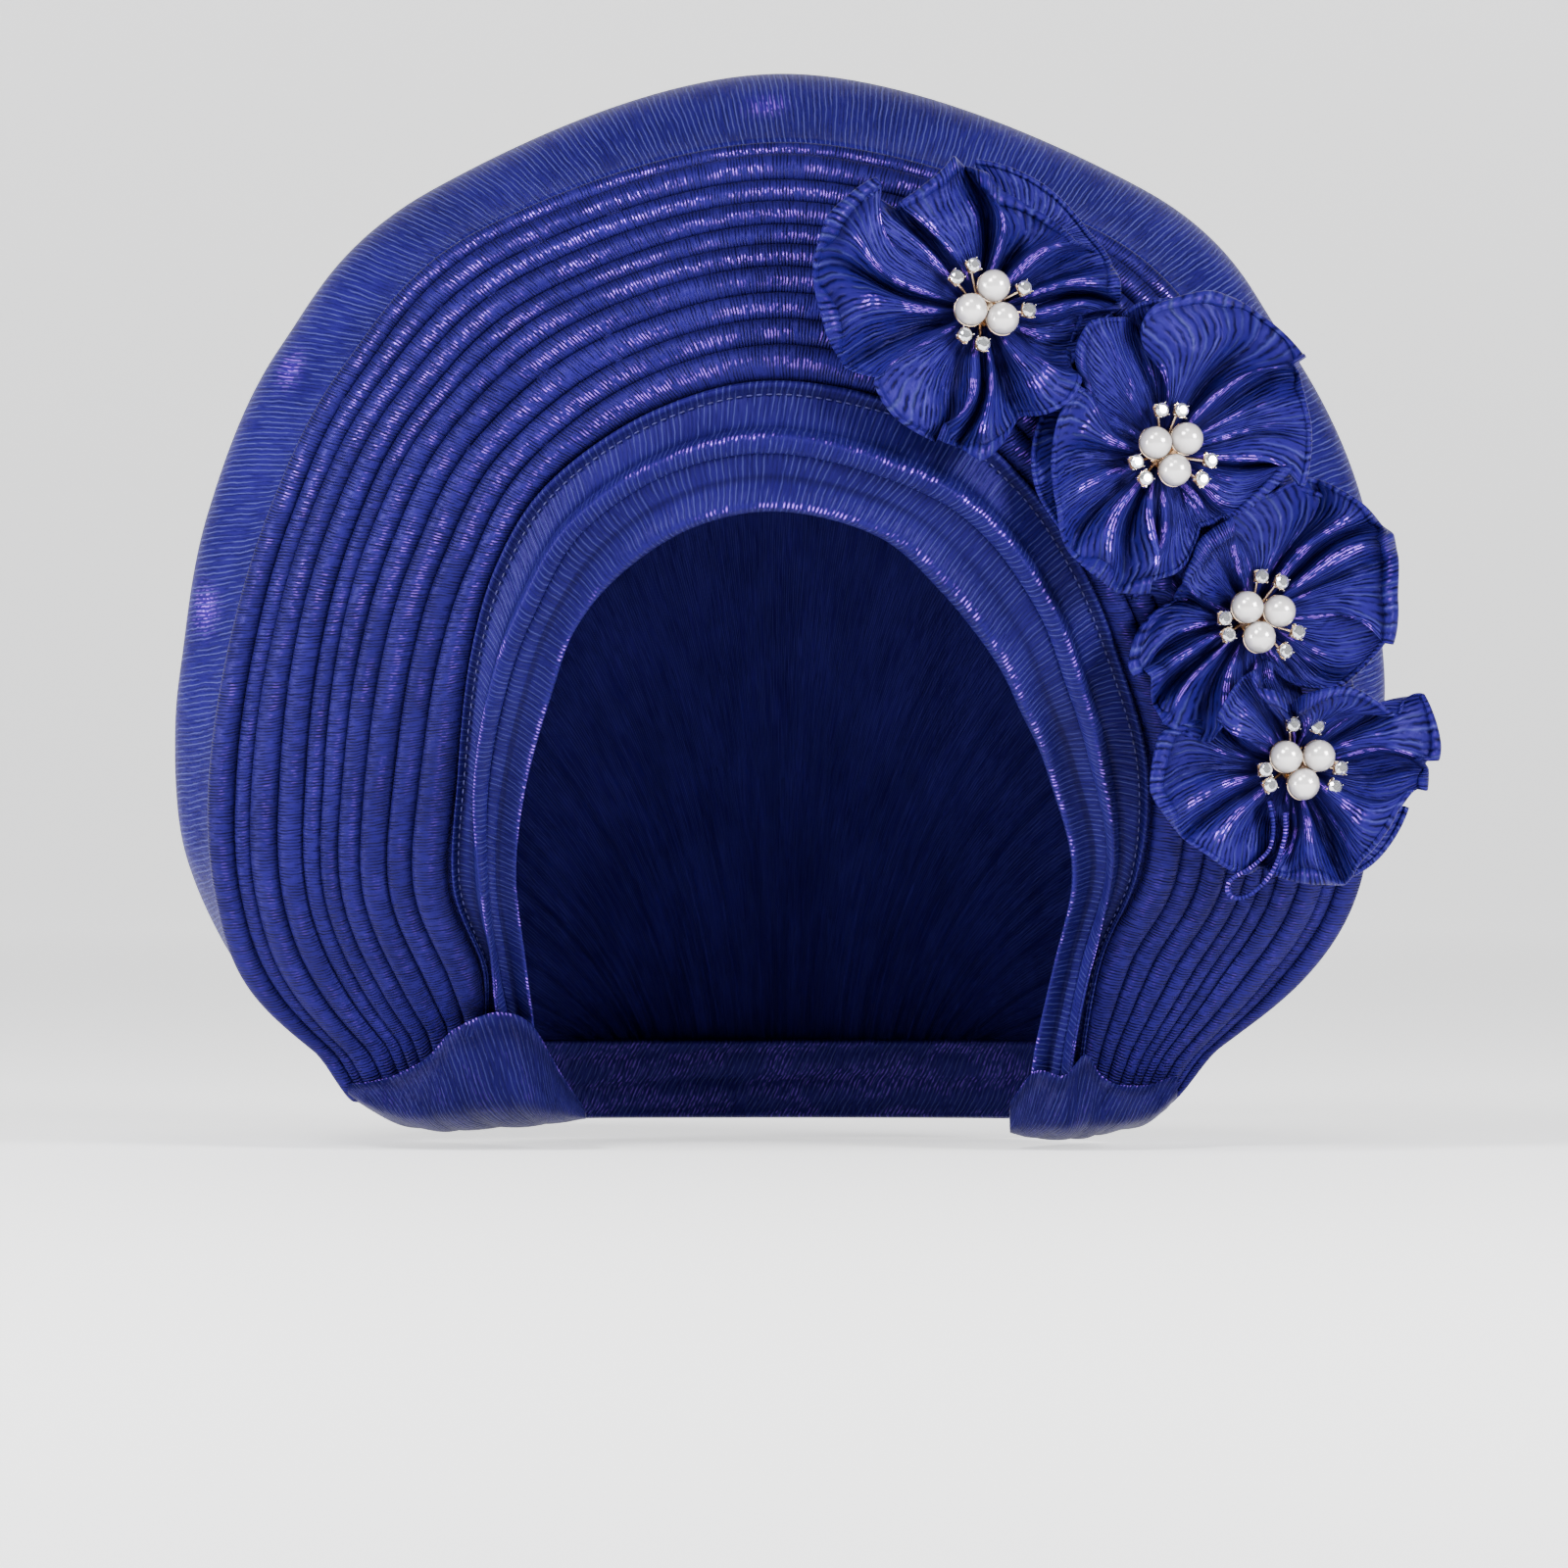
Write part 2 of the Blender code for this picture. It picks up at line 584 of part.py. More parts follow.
def seat(item, tree, far):
    # Slide the item back from in front until it would touch, and leave the clearance.
    points, faces = world_mesh(item)
    forward = Vector((0, -1, 0))
    while not touches(points, faces, forward * far, tree):
        far -= SEAT_STEP
    near, far = far, far + SEAT_STEP
    while far - near > SEAT_ACCURACY:
        middle = (near + far) / 2
        if touches(points, faces, forward * middle, tree):
            near = middle
        else:
            far = middle
    item.data.transform(Matrix.Translation(forward * (far + SEAT_CLEARANCE)))
    bpy.context.view_layer.update()


# Rosettes

def fold_height(fold, share):
    rise = max(share - RISE_START, 0) / (1 - RISE_START)
    height = fold.lift * rise ** RISE_POWER - fold.sag * math.sin(math.pi * rise)
    if share == 1.0:
        height -= RIM_DROP
    return max(height, LEAST_LIFT) * MM


def rosette_mesh(rosette):
    # Spokes and rings of the front cloth, flat in the middle, and the back straight behind them. It
    # leans with what carries it.
    points = [(0.0, 0.0, 0.0)]
    shares = [0.0]
    for fold in rosette.folds:
        points.append((PINCH_RADIUS * cosine(fold.angle), 0.0, PINCH_RADIUS * sine(fold.angle)))
        shares.append(0.0)
    for ring, share in enumerate(RINGS):
        least = PINCH_RADIUS + RING_START + RING_STEP * ring
        for fold in rosette.folds:
            reach = max(fold.reach * MM * share, least)
            points.append((reach * cosine(fold.angle), -fold_height(fold, share), reach * sine(fold.angle)))
            shares.append(share)
    front = []
    for (x, y, z), share in zip(points, shares):
        x -= rosette.lean_x * PINCH_SHIFT * (1 - share)
        z -= rosette.lean_z * PINCH_SHIFT * (1 - share)
        front.append((rosette.x * MM + x, y + rosette.lean_x * x + rosette.lean_z * z, rosette.z * MM + z))
    back = [(x, y + DOUBLED_CLOTH, z) for x, y, z in front]
    mesh = mesh_from(rosette.name, front + back, rosette_faces(len(rosette.folds), len(front)))
    turn_outward(mesh)
    return mesh


def rosette_faces(spokes, behind):
    # A point's partner in the back comes behind places later.
    faces = [(0, 1 + spoke, 1 + (spoke + 1) % spokes) for spoke in range(spokes)]
    for ring in range(len(RINGS)):
        start = 1 + ring * spokes
        for spoke in range(spokes):
            a, b = start + spoke, start + (spoke + 1) % spokes
            faces.append((a, a + spokes, b + spokes, b))
    faces += [tuple(index + behind for index in reversed(face)) for face in faces]
    rim = behind - spokes
    for spoke in range(spokes):
        a, b = rim + spoke, rim + (spoke + 1) % spokes
        faces.append((b, a, a + behind, b + behind))
    return faces


def apply_modifiers(item):
    graph = bpy.context.evaluated_depsgraph_get()
    mesh = bpy.data.meshes.new_from_object(item.evaluated_get(graph))
    item.modifiers.clear()
    item.data = mesh


def draw_stem_down(item, rosette, tree):
    # The middle of the back goes down to its seat.
    front_points = len(item.data.vertices) // 2
    spokes = len(rosette.folds)
    stem = [item.data.vertices[front_points + index] for index in range(spokes + 1)]
    reach = []
    for vertex in stem:
        hit = tree.ray_cast(vertex.co, Vector((0, 1, 0)))
        reach.append(hit[3] if hit[0] else 0)
    drop = min(value for value in reach if value > 0) - SEAT_CLEARANCE
    for vertex in stem:
        vertex.co.y += max(drop, 0)


def make_rosette(rosette, carriers, collection, material):
    item = add_object(rosette.name, rosette_mesh(rosette), collection, material)
    tree = surface_tree(carriers)
    seat(item, tree, SEAT_FROM)
    draw_stem_down(item, rosette, tree)
    smooth_cloth(item, BAND_CREASE)
    return item


def rosette_middle(item):
    return item.data.vertices[0].co.copy()


def make_tail(rosette, middle, carriers, collection, material):
    path = [(x, 0, z) for x, z in TAIL_PATH]
    last = len(path) - 1
    rows = []
    for step in range(TAIL_SECTIONS + 1):
        point = spline(path, last * step / TAIL_SECTIONS) * MM
        lean = np.array([0, rosette.lean_x * point[0] + rosette.lean_z * point[2], 0])
        front = np.array(middle) + point + lean
        rows.append([front, front + np.array(TAIL_ACROSS)])
    mesh = grid_mesh("rosette_4_tail", rows)
    item = add_object("rosette_4_tail", mesh, collection, material)
    modifier = solidify(item, TAIL_CLOTH)
    modifier.offset = 0
    apply_modifiers(item)
    seat(item, surface_tree(carriers[:-1]), TAIL_SEAT_FROM)
    return item


# Brooches

def brooch_frame(rosette, middle):
    # Z of the frame is the way the brooch faces; X stays to the right.
    face = Vector((rosette.lean_x, -1, rosette.lean_z)).normalized()
    right = Vector((1, rosette.lean_x, 0)).normalized()
    up = face.cross(right).normalized()
    frame = Matrix((right, up, face)).transposed().to_4x4()
    frame.translation = middle + face * CLEARANCE
    return frame


def around(angle, radius, height):
    return Vector((radius * cosine(angle), radius * sine(angle), height))


def cone_mesh(name, low_radius, high_radius, height, sides):
    work = bmesh.new()
    bmesh.ops.create_cone(work, cap_ends=True, segments=sides, radius1=low_radius, radius2=high_radius,
                          depth=height)
    bmesh.ops.translate(work, verts=work.verts, vec=(0, 0, height / 2))
    mesh = bpy.data.meshes.new(name)
    work.to_mesh(mesh)
    work.free()
    return mesh


def wire_mesh(start, end):
    span = end - start
    mesh = cone_mesh("wire", WIRE_DIAMETER / 2, WIRE_DIAMETER / 2, span.length, WIRE_SIDES)
    mesh.transform(Matrix.Translation(start) @ span.to_track_quat("Z", "Y").to_matrix().to_4x4())
    return mesh


def brooch_metal(brooch):
    # The base, its three shallow pearl cups, six wires and six square cups, still separate.
    pieces = [cone_mesh("base", BASE_RADIUS, BASE_RADIUS * BASE_TAPER, BASE_HEIGHT, BASE_SIDES)]
    for angle in brooch.pearls:
        cup = cone_mesh("pearl_cup", PEARL_CUP_RADIUS * PEARL_CUP_TAPER, PEARL_CUP_RADIUS,
                        PEARL_CUP_HEIGHT + SOLDER, PEARL_CUP_SIDES)
        place = around(angle, PEARL_RING * PEARL_CUP_INSET, BASE_HEIGHT - SOLDER)
        cup.transform(Matrix.Translation(place))
        pieces.append(cup)
    for angle in brooch.crystals:
        start = around(angle, BASE_RADIUS * WIRE_ROOT, BASE_HEIGHT / 2)
        end = around(angle, CRYSTAL_RING, CUP_FLOOR + CUP_HEIGHT / 2)
        pieces.append(wire_mesh(start, end))
        cup = cone_mesh("cup", CUP_SIDE / 2, CUP_SIDE / math.sqrt(2), CUP_HEIGHT, 4)
        turn = Matrix.Rotation(math.radians(angle + 45), 4, "Z")
        cup.transform(Matrix.Translation(around(angle, CRYSTAL_RING, CUP_FLOOR)) @ turn)
        pieces.append(cup)
    return pieces


def make_brooch_mount(name, brooch, frame, collection, cutters, material):
    pieces = brooch_metal(brooch)
    item = add_object(name, pieces[0], collection, material)
    item.matrix_world = frame
    group = bpy.data.collections.new(name + "_joined")
    cutters.children.link(group)
    for index, piece in enumerate(pieces[1:]):
        part = add_object(f"{name}_joined_{index}", piece, group, None)
        part.matrix_world = frame
        part.hide_render = True
        part.display_type = "WIRE"
    bpy.context.view_layer.update()
    modifier = item.modifiers.new("soldered", "BOOLEAN")
    modifier.operation = "UNION"
    modifier.operand_type = "COLLECTION"
    modifier.collection = group
    modifier.use_self = True
    return item


def make_pearls(name, brooch, frame, collection, material):
    height = BASE_HEIGHT + PEARL_CUP_HEIGHT + CLEARANCE + PEARL_DIAMETER / 2
    for index, angle in enumerate(brooch.pearls):
        work = bmesh.new()
        bmesh.ops.create_uvsphere(work, u_segments=PEARL_SIDES, v_segments=PEARL_ROWS,
                                  radius=PEARL_DIAMETER / 2)
        mesh = bpy.data.meshes.new("pearl")
        work.to_mesh(mesh)
        work.free()
        item = add_object(f"{name}_{index + 1}", mesh, collection, material)
        item.matrix_world = frame @ Matrix.Translation(around(angle, PEARL_RING, height))
        mesh.shade_smooth()


def crystal_mesh():
    # A round brilliant in brief: table, eight crown facets, eight pavilion facets.
    radius = CRYSTAL_DIAMETER / 2
    step = 360 / CRYSTAL_SIDES
    ring = [around(step * side, radius, 0) for side in range(CRYSTAL_SIDES)]
    table = [around(step * (side + 0.5), radius * TABLE_SHARE, radius * CROWN_SHARE)
             for side in range(CRYSTAL_SIDES)]
    culet = Vector((0, 0, -radius * PAVILION_SHARE))
    work = bmesh.new()
    for point in ring + table + [culet]:
        work.verts.new(point)
    bmesh.ops.convex_hull(work, input=work.verts)
    mesh = bpy.data.meshes.new("crystal")
    work.to_mesh(mesh)
    work.free()
    return mesh


def make_crystals(name, brooch, frame, collection, material):
    height = CUP_FLOOR + CUP_HEIGHT + CLEARANCE + PAVILION_SHARE * CRYSTAL_DIAMETER / 2
    mesh = crystal_mesh()
    for index, angle in enumerate(brooch.crystals):
        item = add_object(f"{name}_{index + 1}", mesh, collection, material)
        item.matrix_world = frame @ Matrix.Translation(around(angle, CRYSTAL_RING, height))


def main():
    clear_scene()
    collection = make_collection(OBJECT)
    cutters = make_collection("joined_pieces")
    cloth = make_material(BLUE_CLOTH)
    pearl = make_material(PEARL)
    crystal = make_material(CRYSTAL)
    gold = make_material(PALE_GOLD)

    carriers = [
        make_fan(collection, cloth),
        make_crown(collection, cloth),
        make_band("brow_band", brow_section, collection, cloth),
        make_band("face_roll", face_section, collection, cloth),
        make_wrap("left_wrap", LEFT_WRAP, collection, cloth),
        make_wrap("right_wrap", RIGHT_WRAP, collection, cloth),
    ]
    make_nape_band(collection, cloth)
    for number, (rosette, brooch) in enumerate(zip(ROSETTES, BROOCHES), start=1):
        item = make_rosette(rosette, carriers, collection, cloth)
        carriers.append(item)
        middle = rosette_middle(item)
        frame = brooch_frame(rosette, middle)
        make_brooch_mount(f"brooch_mount_{number}", brooch, frame, collection, cutters, gold)
        make_pearls(f"pearl_{number}", brooch, frame, collection, pearl)
        make_crystals(f"crystal_{number}", brooch, frame, collection, crystal)
    make_tail(ROSETTES[-1], middle, carriers, collection, cloth)
    bpy.context.view_layer.update()


main()
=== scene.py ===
import math

import bmesh
import bpy
import numpy as np
from mathutils import Matrix, Vector


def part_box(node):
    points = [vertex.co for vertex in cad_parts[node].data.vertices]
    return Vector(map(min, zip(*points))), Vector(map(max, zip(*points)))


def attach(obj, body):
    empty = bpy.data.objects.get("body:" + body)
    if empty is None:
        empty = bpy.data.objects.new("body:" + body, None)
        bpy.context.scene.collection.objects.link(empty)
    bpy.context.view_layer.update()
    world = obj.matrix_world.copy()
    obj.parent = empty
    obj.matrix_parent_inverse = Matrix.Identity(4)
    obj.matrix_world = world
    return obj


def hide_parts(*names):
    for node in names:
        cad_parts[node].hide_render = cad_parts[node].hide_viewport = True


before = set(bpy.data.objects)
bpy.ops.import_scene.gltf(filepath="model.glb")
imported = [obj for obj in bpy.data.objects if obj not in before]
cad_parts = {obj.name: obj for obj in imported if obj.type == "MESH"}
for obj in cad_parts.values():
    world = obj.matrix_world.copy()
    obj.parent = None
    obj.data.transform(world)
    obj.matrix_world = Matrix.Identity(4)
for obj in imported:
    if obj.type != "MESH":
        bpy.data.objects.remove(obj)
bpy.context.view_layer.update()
mm = 0.001
print("frame loaded,", len(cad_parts), "nodes")

# Camera, light and floor

camera = {"distance": 2.26, "height": -0.115, "width": 0.384, "sensor": 36.0, "clothPlane": -0.06,
          "near": 0.05, "far": 20}
studio = {
    "world": 0.16, "aim": (0.0, 0.0, -0.07), "floorColour": (0.93, 0.93, 0.94), "floorGlow": 0.9,
    # place, size and power of each light
    "lights": {
        "key": ((-0.75, -1.45, 1.15), 0.55, 40.0), "fill": ((1.35, -1.0, 0.40), 0.6, 50.0),
        "top": ((0.1, -0.9, 1.45), 0.5, 11.0), "left": ((-1.5, -0.55, 0.0), 0.6, 48.0)},
    # the floor, which sweeps up into the backdrop
    "floor": -0.2072, "halfWidth": 5, "front": -4.0, "back": 3.4, "sweep": 0.8, "sweepSteps": 12, "top": 4.0,
}


def addObject(name, data):
    item = bpy.data.objects.new(name, data)
    bpy.context.scene.collection.objects.link(item)
    return item


def makeCamera():
    data = bpy.data.cameras.new("photoCamera")
    data.sensor_width = camera["sensor"]
    data.lens = camera["sensor"] * (camera["distance"] + camera["clothPlane"]) / camera["width"]
    data.clip_start, data.clip_end = camera["near"], camera["far"]
    item = addObject("photoCamera", data)
    item.location = (0, -camera["distance"], camera["height"])
    item.rotation_euler = (math.pi / 2, 0, 0)
    bpy.context.scene.camera = item


def makeLight(name, place, size, power):
    data = bpy.data.lights.new(name, "AREA")
    data.shape, data.size, data.energy = "SQUARE", size, power
    item = addObject(name, data)
    item.location = place
    aim = Vector(studio["aim"]) - Vector(place)
    item.rotation_euler = aim.to_track_quat("-Z", "Y").to_euler()


def makeStudio():
    world = bpy.data.worlds.new("studio")
    world.use_nodes = True
    background = world.node_tree.nodes["Background"]
    background.inputs["Color"].default_value = (1, 1, 1, 1)
    background.inputs["Strength"].default_value = studio["world"]
    bpy.context.scene.world = world
    for name, values in studio["lights"].items():
        makeLight(name, *values)
    back, sweep, steps = studio["back"], studio["sweep"], studio["sweepSteps"]
    profile = [(studio["front"], 0.0), (back, 0.0)]
    for step in range(1, steps + 1):
        turn = math.pi / 2 * step / steps
        profile.append((back + sweep * math.sin(turn), sweep - sweep * math.cos(turn)))
    profile.append((back + sweep, studio["top"]))
    sides = -studio["halfWidth"], studio["halfWidth"]
    points = [(x, y, studio["floor"] + z) for y, z in profile for x in sides]
    faces = [(2 * i, 2 * i + 1, 2 * i + 3, 2 * i + 2) for i in range(len(profile) - 1)]
    mesh = bpy.data.meshes.new("floor")
    mesh.from_pydata(points, [], faces)
    mesh.shade_smooth()
    dye = Dye("paleFloor", {"Base Color": (*studio["floorColour"], 1), "Roughness": 0.9,
                            "Emission Color": (1, 1, 1, 1), "Emission Strength": studio["floorGlow"]})
    mesh.materials.append(dye.material)
    item = addObject("floor", mesh)


# Materials

class Value:  # a value in a node tree, for sums written in Python
    def __init__(self, tree, socket):
        self.tree, self.socket = tree, socket

    def sum(self, operation, *terms):
        return self.tree.node("ShaderNodeMath", dict(enumerate(terms)), operation=operation)

    def __add__(self, other):
        return self.sum("ADD", self, other)

    def __radd__(self, other):
        return self.sum("ADD", other, self)

    def __sub__(self, other):
        return self.sum("SUBTRACT", self, other)

    def __rsub__(self, other):
        return self.sum("SUBTRACT", other, self)

    def __mul__(self, other):
        return self.sum("MULTIPLY", self, other)

    def __rmul__(self, other):
        return self.sum("MULTIPLY", other, self)

    def __pow__(self, other):
        return self.sum("POWER", self, other)

    def __rpow__(self, other):
        return self.sum("POWER", other, self)

    def wave(self, count):  # between 0 and 1, count times in each unit
        return self.sum("SINE", self * (2 * math.pi * count)) * 0.5 + 0.5

    def clamp(self):
        return self.tree.node("ShaderNodeClamp", {"Value": self})

    def between(self, low, high):  # 0 at low, 1 at high, smooth
        return self.tree.node("ShaderNodeMapRange", {"Value": self, "From Min": low, "From Max": high},
                              interpolation_type="SMOOTHSTEP")


class Tree:  # a node tree that is filled in node by node
    def __init__(self, tree):
        self.nodes, self.links = tree.nodes, tree.links

    def node(self, kind, sockets=(), out=0, **settings):
        node = self.nodes.new(kind)
        for setting, value in settings.items():
            setattr(node, setting, value)
        self.feed(node, dict(sockets))
        return Value(self, node.outputs[out]) if node.outputs else None

    def feed(self, node, sockets):
        for key, value in sockets.items():
            if isinstance(value, Value):
                self.links.new(value.socket, node.inputs[key])
            else:
                node.inputs[key].default_value = value


class Dye(Tree):  # one material
    def __init__(self, name, constants):
        self.material = bpy.data.materials.new(name)
        self.material.use_nodes = True
        super().__init__(self.material.node_tree)
        self.finish(constants)

    def finish(self, sockets):
        self.feed(self.nodes["Principled BSDF"], sockets)
        return self.material

    def colour(self, factor, low, high):
        low, high = [(*c, 1) if isinstance(c, tuple) else c for c in (low, high)]
        return self.node("ShaderNodeMix", {0: factor, 6: low, 7: high}, out=2, data_type="RGBA")

    def noise(self, vector, scale, detail):
        return self.node("ShaderNodeTexNoise", {"Vector": vector, "Scale": scale, "Detail": detail})

    def noiseOn(self, x, y, scale=1.0, detail=2.0):
        return self.noise(self.node("ShaderNodeCombineXYZ", {"X": x, "Y": y}), scale, detail)

    def mark(self, name):  # a value that the mesh carries
        return self.node("ShaderNodeAttribute", out=2, attribute_name=name)

    def bump(self, strength, distance, height, **under):
        sockets = {"Strength": strength, "Distance": distance * mm, "Height": height, **under}
        return self.node("ShaderNodeBump", sockets)


clothLook = {
    # painted shade, own blue, paler blue at random and as painted highlight, painted glint, pinstripe,
    # painted sheen
    "paintedShade": (0.0012, 0.0008, 0.014), "body": (0.0115, 0.0062, 0.105), "paleToneAndHighlight": (0.024, 0.014, 0.20),
    "paintedGlintColour": (0.30, 0.10, 0.90), "stripe": (0.065, 0.072, 0.29), "violetSheen": (0.07, 0.01, 0.42),
    "ribPitch": 1.05, "stripePitch": 1.5, "ribBump": 0.30, "crinkleBump": 0.4, "wander": 2.5, "ripple": 0.4,
    "specularTint": (0.50, 0.42, 1.0, 1),
}


def clothMaterial(name, paintedBrightness, shine, ribs, paintedGlints, stripes=1.0, slant=0.0, fineness=1.0, rough=0.42,
                  sheen=0.0):
    look = clothLook
    # the brightness of each piece of the one cloth is painted light and shade
    body, paleToneAndHighlight, pinstripe = (tuple(c * paintedBrightness for c in look[key]) for key in ("body", "paleToneAndHighlight", "stripe"))
    dye = Dye(name, {"Specular IOR Level": shine, "Specular Tint": look["specularTint"],
                     "Sheen Weight": sheen})
    place = dye.node("ShaderNodeUVMap", uv_map="cloth")
    split = dye.node("ShaderNodeSeparateXYZ", {0: place}).socket.node
    along, across = (Value(dye, split.outputs[axis]) * (1 / mm) for axis in "XY")
    paintedLightAndShade, flat, puckerSheen = (dye.mark(mark) for mark in ("crest", "flatness", "puckerSheen"))
    # the mesh's painted light: painted highlight above 0, painted shade below 0
    crest, hollowShade = paintedLightAndShade.clamp(), (paintedLightAndShade * -1.0).clamp()
    wander = (dye.noiseOn(along, across, 0.05) - 0.5) * look["wander"]
    ripple = (dye.noiseOn(along, across, 0.45, 1.0) - 0.5) * look["ripple"]
    thread = along + across * slant + wander + ripple

    rib = thread.wave(fineness / look["ribPitch"])
    fade = dye.noiseOn(along * 0.7, across * 0.22)
    # painted shade in the grooves between the ribs; the same mask also sets the rib bump below
    paintedShade = (1.0 - rib) ** 2.0 * fade.between(0.30, 0.62) * ribs
    broken = dye.noiseOn(along * 0.7, across * 0.07).between(0.36, 0.52)
    stripe = thread.wave(1 / look["stripePitch"]) ** 9.0 * broken * flat * stripes
    # painted glints: violet-white dashes on the ribs, broken up by noise, on painted highlight and on puckers
    patch = dye.noiseOn(along * 0.07, across * 0.15).between(0.42, 0.58)
    spark = dye.noiseOn(thread * (0.95 * fineness), across * 0.55, detail=1.0).between(0.44, 0.58)
    paintedGlint = (rib.between(0.5, 0.95) * spark * (patch * crest ** 2.2 + puckerSheen) * paintedGlints).clamp()
    bolt = dye.noiseOn(along * 0.03, across * 0.06)

    # a paler blue at random over the cloth, and painted highlight where the mesh's mark is above 0
    colour = dye.colour((bolt.between(0.3, 0.75) * 0.5 + crest * 0.5).clamp(), body, paleToneAndHighlight)
    colour = dye.colour(paintedShade.clamp(), colour, look["paintedShade"])
    colour = dye.colour(stripe.clamp(), colour, pinstripe)
    # painted violet sheen over the puckers
    colour = dye.colour(puckerSheen * 0.5, colour, look["violetSheen"])
    # painted shade in the hollows
    colour = dye.colour(hollowShade * 0.55, colour, look["paintedShade"])
    colour = dye.colour(paintedGlint, colour, look["paintedGlintColour"])
    ribHeight = dye.bump(0.8, look["ribBump"], 1.0 - paintedShade + stripe * 0.4)
    crinkles = dye.noiseOn(along * 0.9, across * 0.25, 0.8, 3.0)
    bump = dye.bump(0.7, look["crinkleBump"], crinkles, Normal=ribHeight)
    return dye.finish({"Base Color": colour, "Metallic": paintedGlint * 0.3 + shine,
                       "Roughness": rough - paintedGlint * 0.12 - crest * 0.06, "Normal": bump})


def shinyMaterial(name, colour, roughness, metallic, mottle, scale, edge=None, coat=0.0):
    dye = Dye(name, {"Metallic": metallic, "Coat Weight": coat, "Coat Roughness": 0.08})
    cloud = dye.noise(dye.node("ShaderNodeTexCoord", out=3), scale, 3.0)
    shade = dye.colour(cloud.between(0.3, 0.7), tuple(c * (1 - mottle) for c in colour), colour)
    # painted shade: the edge colour darkens the surface where it turns away from the view
    if edge:  # the colour where the surface turns away
        shade = dye.colour(dye.node("ShaderNodeLayerWeight", {"Blend": 0.35}, out=1), shade, edge)
    return dye.finish({"Base Color": shade, "Roughness": cloud * 0.12 + roughness,
                       "Normal": dye.bump(0.25, 0.05, cloud)})


# Lines and meshes

# The five lines that run round the opening, from the left wrap over the top to the right wrap, as
# (x, y, z) in millimetres at the same seventeen stations as in the solids.
clothLines = {
    "rim": [
        (-110, 24, -190), (-133, 23, -166), (-148, 18, -141), (-153, 12, -114), (-151, 6, -83),
        (-144, 1, -47), (-126, -4, -6), (-88, -8, 33), (0, -10, 62), (90, -8, 33), (125, -4, -4),
        (144, 1, -42), (150, 6, -80), (150, 12, -109), (145, 18, -139), (129, 23, -165), (98, 24, -189)],
    "ridge": [
        (-110, 10, -189), (-134, 1, -166), (-142, -8, -142), (-143, -13, -115), (-138, -21, -84),
        (-127, -31, -48), (-108, -41, -12), (-74, -51, 21), (0, -57, 42), (76, -51, 21), (109, -41, -11),
        (128, -31, -47), (139, -21, -82), (144, -13, -110), (144, -8, -139), (130, 1, -164),
        (99, 10, -189)],
    "seam": [
        (-73, 2, -174), (-74, -12, -159), (-81, -28, -139), (-78, -41, -113), (-74, -57, -84),
        (-67, -67, -61), (-54, -76, -42), (-29, -82, -26), (0, -85, -20), (37, -82, -28), (57, -76, -43),
        (70, -67, -62), (79, -57, -82), (88, -41, -109), (87, -28, -136), (78, -12, -156), (72, 2, -189)],
    "under": [
        (-68, 0, -176), (-71, -12, -160), (-73, -30, -139), (-72, -46, -115), (-67, -63, -92),
        (-60, -73, -74), (-48, -82, -54), (-26, -89, -40), (0, -94, -36), (31, -89, -44), (48, -82, -55),
        (61, -73, -73), (68, -63, -90), (75, -46, -109), (80, -30, -134), (74, -12, -159), (68, 0, -190)],
    "edge": [
        (-64, 4, -178), (-66, -8, -160), (-70, -24, -138), (-66, -39, -115), (-59, -54, -92),
        (-52, -64, -74), (-37, -74, -60), (-20, -82, -51), (0, -86, -48), (23, -82, -54), (39, -74, -68),
        (52, -64, -84), (59, -54, -97), (66, -39, -111), (73, -24, -135), (69, -8, -160), (63, 4, -190)],
}
lastStation = len(clothLines["rim"]) - 1
topStation = lastStation / 2


def smoothStep(value, low, high):  # 0 up to low, 1 from high on, smooth between
    share = np.clip((value - low) / (high - low), 0, 1)
    return share * share * (3 - 2 * share)


def hump(value, middle, width):  # 1 in the middle, and less on both sides
    return np.exp(-((value - middle) / width) ** 2)


def unit(vectors):
    return vectors / np.linalg.norm(vectors, axis=-1, keepdims=True)


def towardsFront(normals):
    return np.where(normals[..., 1:2] > 0, -normals, normals)


def through(points, places):  # a smooth line through points, one unit for each interval
    points = np.asarray(points, float)
    ends = np.vstack([2 * points[0] - points[1], points, 2 * points[-1] - points[-2]])
    index = np.clip(np.floor(places).astype(int), 0, len(points) - 2)
    share = (places - index)[:, None]
    a, b, c, d = (ends[index + step] for step in range(4))
    return 0.5 * (2 * b + (c - a) * share + (2 * a - 5 * b + 4 * c - d) * share ** 2
                  + (3 * b - a - 3 * c + d) * share ** 3)


def smoothLine(path, count):
    return through(path, np.linspace(0, len(path) - 1, count)) * mm


def lineAt(name, places):
    return through(clothLines[name], places) * mm


def facing(places, outer, inner):  # across the cloth, and the normal that faces forward
    before, after = np.maximum(places - 0.05, 0), np.minimum(places + 0.05, lastStation)
    slope = (lineAt(outer, after) + lineAt(inner, after) - lineAt(outer, before) - lineAt(inner, before)) / 2
    across = unit(lineAt(inner, places) - lineAt(outer, places))
    return across, towardsFront(unit(np.cross(across, slope)))


def intoWraps(points, places):  # lets the ends hang down into the wraps
    end = smoothStep(np.abs(places - topStation), topStation - wraps["reachUp"], topStation)
    points[..., 2] -= wraps["reachDown"] * mm * end
    return points


def lengthAlong(points):  # distance from the first point along a line
    return np.concatenate([[0], np.cumsum(np.linalg.norm(np.diff(points, axis=0), axis=1))])


def lengthDown(points):  # mean distance of each row from the first
    columns = range(0, points.shape[1], 20)
    return np.stack([lengthAlong(points[:, column]) for column in columns]).mean(0)[:, None]


